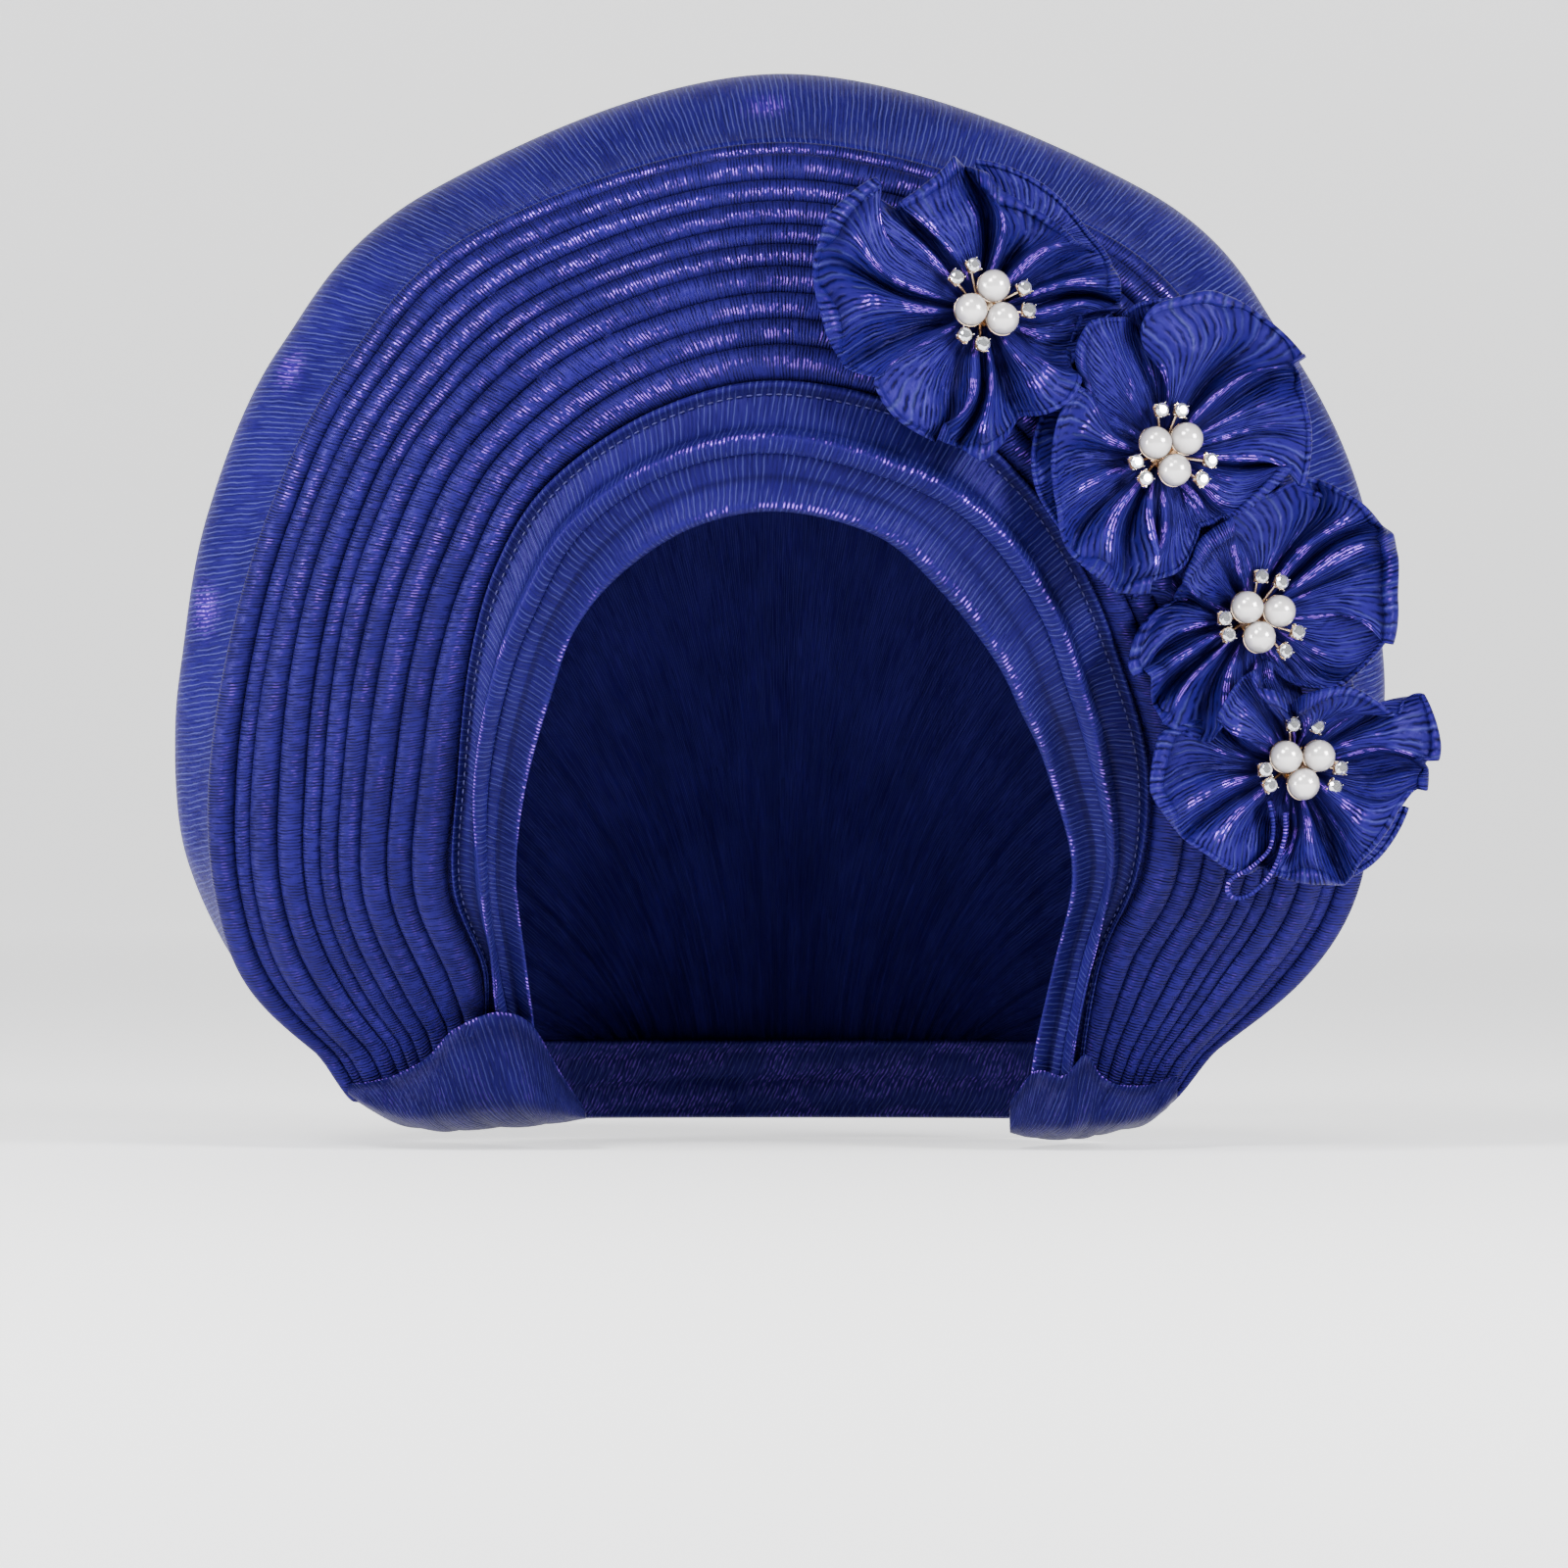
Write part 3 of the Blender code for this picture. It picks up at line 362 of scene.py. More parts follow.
def clothStrip(points, along, across, crest=0.0, flatness=0.0, puckerSheen=0.0):
    # Rows of points, with their places along and across the flat cloth in metres, and marks for the looks:
    # painted highlight above 0 and painted shade below 0, where pinstripes show, and painted sheen on
    # puckers.
    return {"points": points, "places": np.stack(np.broadcast_arrays(along, across), -1),
            "marks": {"crest": crest, "flatness": flatness, "puckerSheen": puckerSheen}}


def wavy(places, seed, size, waves=(0.9, 2.1, 4.3)):  # a smooth uneven line, the same every run
    turn = np.random.default_rng(seed).uniform(0, 2 * math.pi, len(waves))
    return size * sum(np.sin(places * wave + start) / (index + 1)
                      for index, (wave, start) in enumerate(zip(waves, turn)))


def bulge(points, spread=2):
    # How much the cloth bends forward (above 0) or back (below 0), in radians a millimetre.
    normal = towardsFront(unit(np.cross(np.gradient(points, axis=0), np.gradient(points, axis=1)) + 1e-15))
    total = 0
    for axis in (0, 1):
        slope = np.gradient(points, axis=axis)
        bend = (np.gradient(slope, axis=axis) * normal).sum(-1)
        total = total - bend / np.maximum(np.linalg.norm(slope, axis=-1), 0.05 * mm) ** 2 * mm
    for _ in range(spread):
        total = (total + np.roll(total, 1, 1) + np.roll(total, -1, 1)) / 3
    return total


def sheetMesh(name, strips, side):
    faces, marks, start = [], {}, 0
    for strip in strips:
        rows, columns = strip["points"].shape[:2]
        index = np.arange(rows * columns).reshape(rows, columns) + start
        corners = index[:-1, :-1], index[:-1, 1:], index[1:, 1:], index[1:, :-1]
        faces.append(np.stack(corners, -1).reshape(-1, 4))
        for mark, values in strip["marks"].items():
            marks.setdefault(mark, []).append(np.broadcast_to(values, (rows, columns)).reshape(-1))
        start += rows * columns
    faces = np.concatenate(faces)
    points = np.concatenate([strip["points"].reshape(-1, 3) for strip in strips])
    places = np.concatenate([strip["places"].reshape(-1, 2) for strip in strips])[faces.reshape(-1)]
    mesh = bpy.data.meshes.new(name)
    mesh.from_pydata(points, [], faces.tolist())
    mesh.uv_layers.new(name="cloth").data.foreach_set("uv", places.astype(np.float32).reshape(-1))
    for mark, values in marks.items():
        attribute = mesh.attributes.new(mark, "FLOAT", "POINT")
        attribute.data.foreach_set("value", np.concatenate(values).astype(np.float32))
    work = bmesh.new()
    work.from_mesh(mesh)
    bmesh.ops.remove_doubles(work, verts=work.verts, dist=0.01 * mm)
    if side == "out":
        bmesh.ops.recalc_face_normals(work, faces=work.faces)
    work.to_mesh(mesh)
    work.free()
    normals = np.zeros(len(mesh.polygons) * 3)
    mesh.polygons.foreach_get("normal", normals)
    if {"front": -1, "back": 1}.get(side, 0) * normals[1::3].sum() < 0:
        mesh.flip_normals()
    return mesh


def addPiece(name, mesh, material, nodes=(), crease=40, matrix=Matrix()):
    mesh.transform(matrix)
    if material.name not in mesh.materials:
        mesh.materials.clear()
        mesh.materials.append(material)
    if crease:
        mesh.shade_smooth()
        mesh.set_sharp_from_angle(angle=math.radians(crease))
    item = addObject(name, mesh)
    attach(item, "root")
    if nodes:
        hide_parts(*nodes)
    return item


def clothPiece(name, strips, material, node, crease=45, wall=0.0, side="front", **cut):
    # A wall of cloth whose mesh faces the side given, or a closed form without a wall.
    item = addPiece(name, sheetMesh(name, strips, side), material, [node], crease)
    if wall:
        modifier = item.modifiers.new("wall", "SOLIDIFY")
        modifier.thickness, modifier.offset, modifier.use_even_offset = wall * mm, -1, False
    return item


# The pleated fan

fan = {
    "columns": 340, "rise": 0.60, "bow": 3.0, "endSag": 4.0, "sagSkew": 0.7, "flatStrip": 0.035,
    "sideStation": 3, "shoulderStation": 5, "sink": 0.5, "threadShift": (0.037, 0.01),
    # round a pleat from valley to valley, in degrees: first, last and number of steps, middle and width of
    # the painted highlight, and middle of the crest with the start and the end of the painted shadow
    "section": (196, -16, 15), "skew": 1.18, "roundness": 0.75, "shine": (112, 14), "shadow": (122, 22, 112),
    # widths of the ten pleats from the rim inwards, at the side, the shoulder and the top
    "pleats": [(7.0, 7.0, 3.9), (4.6, 5.6, 7.0), (7.4, 6.8, 5.8), (6.5, 7.0, 6.0), (4.6, 5.3, 5.3),
               (4.8, 6.8, 5.8), (5.8, 7.0, 6.5), (6.8, 7.7, 6.5), (6.5, 7.0, 6.5), (8.4, 6.1, 7.8)],
}


def pleatEdges(places):
    stations = 0, topStation - fan["shoulderStation"], topStation - fan["sideStation"]
    far = np.abs(places - topStation)
    widths = np.stack([np.interp(far, stations, width[::-1]) for width in fan["pleats"]], -1)
    edges = np.concatenate([np.zeros((len(places), 1)), np.cumsum(widths, axis=1)], axis=1)
    return edges / edges[:, -1:] * (1 - fan["flatStrip"])


def fanPoints(places, share, height):
    ridge, seam = lineAt("ridge", places), lineAt("seam", places)
    normal = facing(places, "ridge", "seam")[1]
    end = np.maximum(0, np.maximum(1 - places, places - (lastStation - 1)))
    bow = fan["bow"] * mm * np.sin(math.pi * share) * (1 - end)
    points = ridge + (seam - ridge) * share[:, None] + normal * (bow + height)[:, None]
    points[:, 2] -= fan["endSag"] * mm * np.sin(math.pi * np.clip(share, 0, 1) ** fan["sagSkew"]) * end
    return intoWraps(points, places)


def makeFan():
    places = np.linspace(0, lastStation, fan["columns"])
    width = np.linalg.norm(lineAt("seam", places) - lineAt("ridge", places), axis=1)
    edges = pleatEdges(places)
    turns = np.radians(np.linspace(*fan["section"]))
    low, degrees = math.sin(turns[-1]), np.degrees(turns)[:, None]
    middle, first, last = fan["shadow"]
    # painted highlight along each pleat's crest, strongest near the top, and painted shadow on the flanks,
    # darker near the top
    crest = hump(degrees, *fan["shine"]) * (0.25 + 0.75 * hump(places, topStation, 3.2))
    depth = 0.62 + 0.33 * hump(places, topStation, 4.5)
    crest = crest - depth * smoothStep(np.abs(degrees - middle), first, last)
    shiftAlong, shiftAcross = fan["threadShift"]
    strips = []
    for pleat in range(len(fan["pleats"])):
        start, span = edges[:, pleat], edges[:, pleat + 1] - edges[:, pleat]
        rise = fan["rise"] * span * width * (1 + wavy(places, 10 + pleat, 0.05, (0.7, 1.9, 5.2)))
        sway = wavy(places, 40 + pleat, 0.012, (1.1, 2.7, 6.1))
        rows = []
        for turn in turns:
            wide = min(max(0.5 - 0.5 * math.cos(turn) / math.cos(turns[-1]), 0), 1)
            share = wide ** fan["skew"] + sway * math.sin(math.pi * wide)
            lift = (max(math.sin(turn) - low, 0) / (1 - low)) ** fan["roundness"]
            rows.append(fanPoints(places, start + span * share, rise * lift - fan["sink"] * mm))
        points = np.stack(rows)
        along = lengthAlong(points[len(turns) // 2]) + shiftAlong * pleat
        strips.append(clothStrip(points, along, lengthDown(points) + shiftAcross * pleat, crest, 0.15))
    share = np.linspace(0, 1, 4)[:, None] * (1 - edges[:, -1]) + edges[:, -1]
    points = np.stack([fanPoints(places, row, np.full(len(places), -fan["sink"] * mm)) for row in share])
    strips.append(clothStrip(points, lengthAlong(points[0]), mm * np.arange(4)[:, None], flatness=0.5))
    clothPiece("pleatedFan", strips, crinkle, "pleated_fan", crease=60, wall=0.7,
               flat=(0.565, 0.115), held="gathered", rests_on=["browBand", "crownPanel"])


# The outer panel and the back shell

crown = {
    "columns": 400, "panelRows": 16, "backRows": 60, "tuckBack": 0.8, "tuckIn": 0.2,
    "nape": (45, 84, -188), "napeBulge": 3, "panelHandle": 0.4, "rimStretch": 0.45,
    "centre": (0, 0.02, -0.08),
    # handles of the curves from rim to nape: across, back, more back at the top, up, more up, power
    "rimHandle": (-12, 24, 32, 4, -4, 1.0), "napeHandle": (30, 4, 48, 3, 128, 1.5),
    # folds of the shell: where they start, depth, then number, seed, unevenness and share of each kind
    "foldStart": 1.15, "foldDepth": 0.9, "folds": [(11.0, 7, 1.2, 1.0), (19.0, 8, 1.5, 0.6)],
    # a slow sway of the panel: number, seed, unevenness, middle, width, height
    "sway": (5.3, 5, 1.0, 0.62, 0.3, 0.35),
    # puckers of the outer panel: station, share of the way from ridge to rim, size
    "puckers": [(5.9, 0.55, 3.4), (4.35, 0.55, 4.2), (7.95, 0.45, 3.0)], "puckerDepth": 0.9,
}


def curve(a, b, c, d, share):
    rest = 1 - share
    return a * rest ** 3 + b * (3 * rest ** 2 * share) + c * (3 * rest * share ** 2) + d * share ** 3


def handle(values, side, rise):
    across, back, topBack, lift, topLift, power = values
    return np.stack([across * side, back + topBack * rise, lift + topLift * rise ** power], -1) * mm


def makeCrown():
    places = np.linspace(0, lastStation, crown["columns"])
    across, normal = facing(places, "ridge", "seam")
    front = lineAt("ridge", places) - normal * crown["tuckBack"] * mm + across * crown["tuckIn"] * mm
    rim = lineAt("rim", places)
    beforeRim = rim.copy()
    beforeRim[:, 1] -= crown["rimStretch"] * (rim[:, 1] - front[:, 1])
    afterFront = front + (rim - front) * crown["panelHandle"]
    turn = math.pi * places / lastStation
    rise, side = np.sin(turn), -np.cos(turn)
    halfWidth, back, low = crown["nape"]
    foot = np.stack([halfWidth * side, back + crown["napeBulge"] * rise, np.full(len(places), low)], -1) * mm
    behind = rim + handle(crown["rimHandle"], side, rise)
    above = foot + handle(crown["napeHandle"], side, rise)
    panel, shell = np.linspace(0, 1, crown["panelRows"]), np.linspace(0, 1, crown["backRows"])[1:]
    points = np.stack([curve(front, afterFront, beforeRim, rim, share) for share in panel]
                      + [curve(rim, behind, above, foot, share) for share in shell])
    shares = np.concatenate([panel, 1 + shell])
    out = unit(np.cross(np.gradient(points, axis=0), np.gradient(points, axis=1)))
    inwards = ((points - np.array(crown["centre"])) * out).sum(-1, keepdims=True) < 0
    out = np.where(inwards, -out, out)
    folds = sum(size * np.sin(places * count + wavy(places, seed, uneven))
                for count, seed, uneven, size in crown["folds"])
    push = np.clip(shares - crown["foldStart"], 0, 1)[:, None] * folds * crown["foldDepth"] * mm
    count, seed, uneven, middle, width, height = crown["sway"]
    sway = np.sin(places * count + wavy(places, seed, uneven)) * hump(shares, middle, width)[:, None]
    # marks where the puckers get painted violet sheen and painted glints
    puckerSheen = np.zeros(points.shape[:2])
    for station, share, size in crown["puckers"]:
        row = points[int(share * (len(panel) - 1))]
        middle = np.array([np.interp(station, places, row[:, axis]) for axis in range(3)])
        close = hump(np.linalg.norm(points - middle, axis=-1), 0, size * mm)
        puckerSheen = np.maximum(puckerSheen, close)
        push = push - crown["puckerDepth"] * mm * close * (1 + 0.5 * np.cos(places * 60))
    points = intoWraps(points + out * (push + sway * height * mm)[..., None], places)
    # a faint painted highlight along the rim
    crest, flatness = hump(shares, 1.0, 0.10) * 0.15, np.where(shares < 1.05, 1.0, 0.5)
    strip = clothStrip(points, lengthAlong(rim), lengthDown(points), crest[:, None], flatness[:, None],
                       puckerSheen * 0.5)
    clothPiece("crownPanel", [strip], panelCloth, "crown_panel", crease=70, wall=0.9,
               flat=(0.71, 0.30), area=0.12, held="stretched", rests_on=["pleatedFan", "napeBand"])


# The bands round the opening

bands = {
    # width of the painted highlight along each roll, and the bends whose hollows get painted shade
    "columns": 420, "rows": 44, "shineWidth": 0.035, "hollowShade": (0.06, 0.35),
    # share of the way across and height in millimetres, at the places that the eye follows
    "brow": [(-0.05, 1.1), (-0.07, 3.0), (0.01, 3.8), (0.10, 2.2), (0.35, 1.8), (0.6, 2.2), (0.76, 4.4),
             (0.89, 5.6), (1.0, 4.4), (1.03, 2.2), (0.98, 1.0)],
    "faceTuck": [(0.6, 0.3), (0.95, 0.4)],
    "face": [(0.2, 0.5), (0.40, 0.6), (0.56, 2.0), (0.72, 4.4), (0.88, 4.2), (1.01, 1.8), (1.0, -1.0),
             (0.93, -3.2)],
}


def bandRows(places, outer, inner, profile):
    normal = facing(places, outer, inner)[1]
    start, end = lineAt(outer, places), lineAt(inner, places)
    return [intoWraps(start + (end - start) * share + normal * height * mm, places)
            for share, height in profile]


def makeBand(name, node, rows, shinePlace, **cut):
    steps = np.linspace(0, len(rows) - 1, bands["rows"])
    grid = np.stack(rows)
    points = np.stack([through(grid[:, column], steps) for column in range(grid.shape[1])], axis=1)
    # painted highlight along the roll and painted shade in the hollows; pinstripes fade under the highlight
    shine = hump(steps / (len(rows) - 1), shinePlace, bands["shineWidth"])[:, None]
    crest = shine - smoothStep(-bulge(points), *bands["hollowShade"])
    along = lengthAlong(points[len(steps) // 2])
    strip = clothStrip(points, along, lengthDown(points), crest, 1.0 - shine)
    clothPiece(name, [strip], bandCloth, node, crease=70, wall=0.7, **cut)


def makeBands():
    places = np.linspace(0, lastStation, bands["columns"])
    brow = bandRows(places, "seam", "under", bands["brow"])
    makeBand("browBand", "brow_band", brow, 0.69,
             flat=(0.445, 0.022), held="folded", rests_on=["faceRoll", "pleatedFan"])
    tuck = bandRows(places, "seam", "under", bands["faceTuck"])
    makeBand("faceRoll", "face_roll", tuck + bandRows(places, "under", "edge", bands["face"]), 0.59,
             flat=(0.41, 0.024), held="folded", rests_on=["browBand"])


# The hem's stitches

stitches = {"place": (0.13, 2.55), "pitch": 2.4, "size": (1.5, 0.42, 0.42), "stations": (0.9, 15.4, 300)}


def makeStitches():
    line = bandRows(np.linspace(*stitches["stations"]), "seam", "under", [stitches["place"]])[0]
    count = int(lengthAlong(line)[-1] / (stitches["pitch"] * mm))
    mesh = beadsAlong("hemStitches", [line], count, stitches["size"], (0, -1, 0), threadDye)
    addPiece("hemStitches", mesh, threadDye, crease=80)


# The wraps

wraps = {
    "rows": 90, "round": 96, "lipBack": 4.5, "reachUp": 0.35, "reachDown": 4.5,
    # x, lip, dip, bottom, front, back of each section from the opening outwards
    "left": [
        (-50, -197, -198, -199.5, 0, 12), (-56, -187.5, -192, -200.5, -7, 24),
        (-63, -175.5, -183.5, -201.5, -11, 32), (-70.5, -172, -181, -202, -12, 36),
        (-78, -174, -182, -202.5, -12, 38), (-83.5, -177, -184.5, -203, -11, 38),
        (-89, -183, -189, -202.8, -9, 38), (-97, -187.8, -192.5, -201.5, -4, 38),
        (-105, -190, -193, -197.5, 0, 34), (-110, -190.6, -192.2, -194, 5, 28)],
    "right": [
        (57, -195, -196.5, -203, 0, 12), (63, -187, -193.5, -204.5, -7, 24),
        (70, -188, -193.5, -205, -11, 34), (75.6, -182.7, -193.5, -204.7, -11, 37),
        (79.5, -188, -194.5, -204, -9, 38), (84, -190.3, -195, -203, -8, 38),
        (91, -190.7, -195.6, -201.5, -3, 36), (96, -189.2, -194.8, -198, -2, 32),
        (99, -188.6, -192.2, -194.5, -1, 27)],
    "twist": 1.2, "foldDepth": 0.6, "folds": 5,
}


def makeWrap(name, node, sections, seed):
    rows = wraps["rows"]
    x, lip, dip, bottom, front, back = smoothLine(sections, rows).T
    middle, height, depth = (front + back) / 2, lip - bottom, back - front
    lipBack = wraps["lipBack"] * mm
    # eight corners (back, up) of each section, from the lip round the front and under the wrap
    ring = [(front + 0.3 * lipBack, lip), (front, lip - 0.35 * height),
            (front + 0.08 * depth, bottom + 0.2 * height), (middle, bottom),
            (back - 0.1 * depth, bottom + 0.2 * (dip - bottom)), (back, (dip + bottom) / 2),
            (back - 0.12 * depth, dip - 0.12 * (dip - bottom)), (front + lipBack, dip)]
    corners = np.stack([np.stack([x, y, z], -1) for y, z in ring])
    corners = np.concatenate([corners[-1:], corners, corners[:2]])
    turns = np.linspace(0, len(ring), wraps["round"] + 1)
    points = np.stack([through(corners[:, row], turns + 1) for row in range(rows)])
    outward = unit(points - points[:, :-1].mean(axis=1, keepdims=True))
    run = np.linspace(0, 1, rows)[:, None]
    phase = 2 * math.pi * (turns / len(ring) + run * wraps["twist"])
    crease = np.abs(np.sin(phase * wraps["folds"] / 2 + wavy(run[:, 0], seed, 0.8)[:, None])) ** 0.6
    taper = np.sin(math.pi * np.clip(run, 0.02, 0.98)) ** 0.5
    points = points + outward * ((crease - 0.8) * wraps["foldDepth"] * mm * taper)[..., None]
    first, last = (np.repeat(points[row].mean(0)[None], points.shape[1], 0)[None] for row in (0, -1))
    points = np.concatenate([first, points, last])
    crease = np.concatenate([crease[:1], crease, crease[-1:]])
    # painted highlight on the lip, painted shade in the dip below it, and on the folds a little painted
    # highlight on top and painted shade between
    crest = hump(turns, 0, 0.22) - 0.8 * hump(turns, 0.55, 0.22)
    crest = crest + 0.15 * crease ** 3 - 0.4 * (1 - crease) ** 2
    girth = np.stack([lengthAlong(row) for row in points[5:-5:10]]).mean(0)
    strip = clothStrip(points, lengthAlong(points[:, 0])[:, None], girth, crest, 0.8)
    item = clothPiece(name, [strip], wrapCloth, node, crease=60, side="out")


# The band behind the neck

nape = {
    "path": [(-98, 33), (-81, 60), (-64, 74), (-43, 80.5), (0, 83.5), (43, 80.5), (63, 74), (75, 60),
             (89, 33)],
    "top": -181.5, "height": 20.5, "columns": 220, "rows": 22, "swell": 1.0, "folds": 5, "foldDepth": 0.35,
}


def makeNape():
    line = smoothLine([(x, y, 0) for x, y in nape["path"]], nape["columns"])
    slope = np.gradient(line, axis=0)
    out = -towardsFront(unit(np.stack([-slope[:, 1], slope[:, 0], 0 * slope[:, 0]], -1)))
    rows, down = [], np.linspace(0, 1, nape["rows"])
    for share in down:
        middle = math.sin(math.pi * share)
        fold = np.sin(share * nape["folds"] * math.pi + wavy(line[:, 0] * 30, 3, 0.7)) * nape["foldDepth"]
        swell = (middle ** 0.5 - 1.0) * nape["swell"] + fold * middle
        row = line + out * (swell * mm)[:, None]
        row[:, 2] = (nape["top"] - nape["height"] * share) * mm
        rows.append(row)
    # an even faint painted highlight, with sparse painted glints
    strip = clothStrip(np.stack(rows), lengthAlong(line), nape["height"] * mm * down[:, None], 0.25, 0.8)
    clothPiece("napeBand", [strip], wrapCloth, "nape_band", wall=2.0, side="back",
               flat=(0.235, 0.022), held="folded", rests_on=["leftWrap", "rightWrap"])


# Rosettes

rosetteLook = {
    "pinch": 5.5, "pinchShift": 4.5, "columns": 640, "rings": 56, "rollSteps": 12, "underColumns": 90,
    # the rolled rim: its least radius, what the fullest rim adds to it, and its reach forward in radii
    "roll": (0.7, 1.5), "rollForward": 1.1, "fall": 3.0,
    "cloth": 4.0, "riseStart": 0.10, "threadWidth": 30.0, "gathers": 0.3, "sway": 8.5, "billow": 1.5,
    # fine folds that run out from the middle: number in a turn and share of the height
    "fineFolds": [(17, 0.4), (29, 0.3), (43, 0.2), (61, 0.1)],
    # crumples between the folds: number in a turn, swirl on the way out, height
    "crumples": [(11, 1.4, 0.8), (19, -1.8, 0.45)],
    "meanLift": 6.5, "contrast": 1.9,  # deepens the valleys and raises the crests
    # bulges that get painted highlight and hollows that get painted shade, from none to full
    "crest": (0.16, 0.60), "hollowShade": (0.05, 0.5), "bulgeSpread": 8,
}
# place: x, z, lean in x, lean in z. cut: the strip before it is doubled and gathered, in metres.
# folds: angle, reach, lift, and sag between middle and edge where there is any. curls: angle, degrees that
# the crest leans over its neighbour, width. under: petals that show behind the front ones, with their first
# angle, last angle, reach at the start, in the middle and at the end, lift.
rosettes = {
    1: {
        "place": (48.9, 0.7, 0.30, 0.20), "cut": (0.25, 0.068),
        "folds": [
            (-5, 33.5, 9), (4, 33, 5, 1), (15, 33.5, 10), (27, 32, 3), (45, 27, 12, 1), (64, 27, 7, 3),
            (78, 32, 12), (88, 35, 2), (93, 37.5, 9), (108, 32.5, 10, 1), (128, 32.5, 1), (133, 39, 9),
            (144, 39.5, 9, 2), (163, 44, 10), (173, 43, 4), (184, 40, 10), (201, 37.5, 2), (215, 31, 11),
            (228, 35.5, 9), (245, 35.5, 2), (257, 35, 10, 1), (269, 35, 2), (276, 38, 9), (290, 28, 4, 2),
            (307, 31, 11), (328, 23, 1), (343, 24, 5)],
        "curls": [(70, 14, 7), (112, 15, 7), (222, -14, 7), (312, 14, 7), (150, -10, 6)],
        "under": [(22, 84, 33, 32, 36.5, 3.5), (318, 352, 24, 28, 32, 2.5)],
    },
    2: {
        "place": (93.7, -34.1, 0.38, 0.10), "cut": (0.24, 0.066),
        "folds": [
            (-3, 34.5, 9), (8, 35.5, 9, 3), (22, 36, 11, 4), (38, 38.5, 4), (50, 41.5, 10), (63, 41.5, 3),
            (72, 41, 9), (80, 36, 11), (88, 27, 9), (94, 33, 3), (108, 35, 7), (118, 37, 10, 1),
            (140, 30.5, 9, 5), (158, 26.5, 9, 5), (175, 28.5, 10), (188, 29.5, 6, 4), (203, 31, 9, 3),
            (219, 35, 2), (230, 36, 10), (239, 37, 6, 2), (248, 35, 10), (256, 32.5, 3), (266, 33.5, 8, 2),
            (279, 30, 2, 1), (297, 20, 3), (312, 21, 3), (325, 25, 7), (338, 30, 8, 1), (349, 34.5, 4)],
        "curls": [(-3, -14, 6), (84, 9, 7), (170, -14, 7), (248, 12, 6), (56, -10, 6)],
        "under": [(76, 112, 38, 37, 34, 2.5), (150, 215, 28, 34, 33, 3.0)],
    },
    3: {
        "place": (116.6, -74.2, 0.40, 0.0), "cut": (0.22, 0.062),
        "folds": [
            (0, 33.5, 12, 4), (14, 35, 12, 5), (27, 38.5, 9, 2), (37, 39.5, 11), (46, 39, 5),
            (56, 38.5, 10), (69, 37.5, 1), (78, 30.5, 10), (91, 27, 12, 3), (106, 25, 13, 4),
            (122, 24.5, 12, 7), (140, 22, 12, 7), (160, 20, 11, 3), (174, 22, 4), (186, 35, 9),
            (196, 32.5, 3), (206, 31, 10), (215, 34, 3), (225, 36, 10), (234, 34, 3), (243, 32, 9),
            (255, 27, 3), (268, 20, 4), (290, 14, 1), (307, 20, 2), (322, 27.5, 5), (340, 33, 10, 3)],
        "curls": [(5, -14, 7), (88, 13, 7), (150, 17, 9), (188, 14, 6), (228, -10, 5)],
        "under": [(98, 176, 28, 30, 32, 2.0), (60, 84, 36, 34, 33, 2.5)],
    },
    4: {
        "place": (126.9, -110.2, 0.38, 0.0), "cut": (0.20, 0.060),
        "folds": [
            (-1, 32, 7), (9, 33.5, 10), (21, 36, 11), (33, 36, 9, 2), (44, 30, 12, 3), (60, 24, 12, 3),
            (76, 18, 11, 3), (88, 15, 6), (98, 21, 12, 7), (107, 26, 13, 8), (121, 26, 12, 4),
            (136, 24.5, 12), (152, 21.5, 10), (163, 24, 2), (174, 36, 9, 3), (187, 38, 8, 5),
            (198, 36, 9, 1), (208, 34.5, 4), (219, 32, 9, 1), (231, 31, 5), (243, 27, 2), (258, 27, 3),
            (272, 28.5, 6), (284, 30, 10), (295, 32, 4, 3), (308, 28.5, 9, 1), (323, 27, 12), (335, 33, 9),
            (348, 33, 6)],
        "curls": [(18, -12, 7), (52, -14, 8), (101, 15, 7), (142, 14, 7), (327, 12, 6)],
        "under": [(84, 130, 24, 29, 28, 2.0), (296, 330, 31, 31, 30, 2.0)],
    },
}


def foldValues(folds, angles):
    # Reach, lift near the middle, lift at the edge and sag at each angle. Near the middle low folds are
    # sharp and high ones round, as in gathered cloth, and at the edge all are round.
    table = np.array([(*fold, 0)[:4] for fold in sorted(folds)], float)
    meanLift, contrast = rosetteLook["meanLift"], rosetteLook["contrast"]
    table[:, 2] = np.maximum((table[:, 2] - meanLift) * contrast + meanLift, 0.3)
    wrapped = np.vstack([table[-1] - (360, 0, 0, 0), table, table[0] + (360, 0, 0, 0)])
    angles = np.where(angles < wrapped[0, 0], angles + 360, angles)
    index = np.clip(np.searchsorted(wrapped[:, 0], angles, side="right") - 1, 0, len(wrapped) - 2)
    low, high = wrapped[index], wrapped[index + 1]
    share = (angles - low[:, 0]) / (high[:, 0] - low[:, 0])
    sharp = np.where(high[:, 2] > low[:, 2], np.sin(math.pi / 2 * share), 1 - np.cos(math.pi / 2 * share))
    smooth = smoothStep(share, 0, 1)
    blends = ((1, 0.3 * smooth + 0.7 * share), (2, sharp), (2, 0.35 * smooth + 0.65 * sharp), (3, smooth))
    return [low[:, column] + (high[:, column] - low[:, column]) * blend for column, blend in blends]


def leanOver(angles, curls, amount):
    turns = np.radians(angles)
    bend = np.sin(2.6 * amount + 3 * turns) + 0.5 * np.sin(4.1 * amount + 7 * turns)
    moved = angles + rosetteLook["sway"] * bend * amount
    for place, lean, width in curls:
        moved = moved + lean * hump((angles - place + 180) % 360 - 180, 0, width) * amount
    return np.radians(moved)


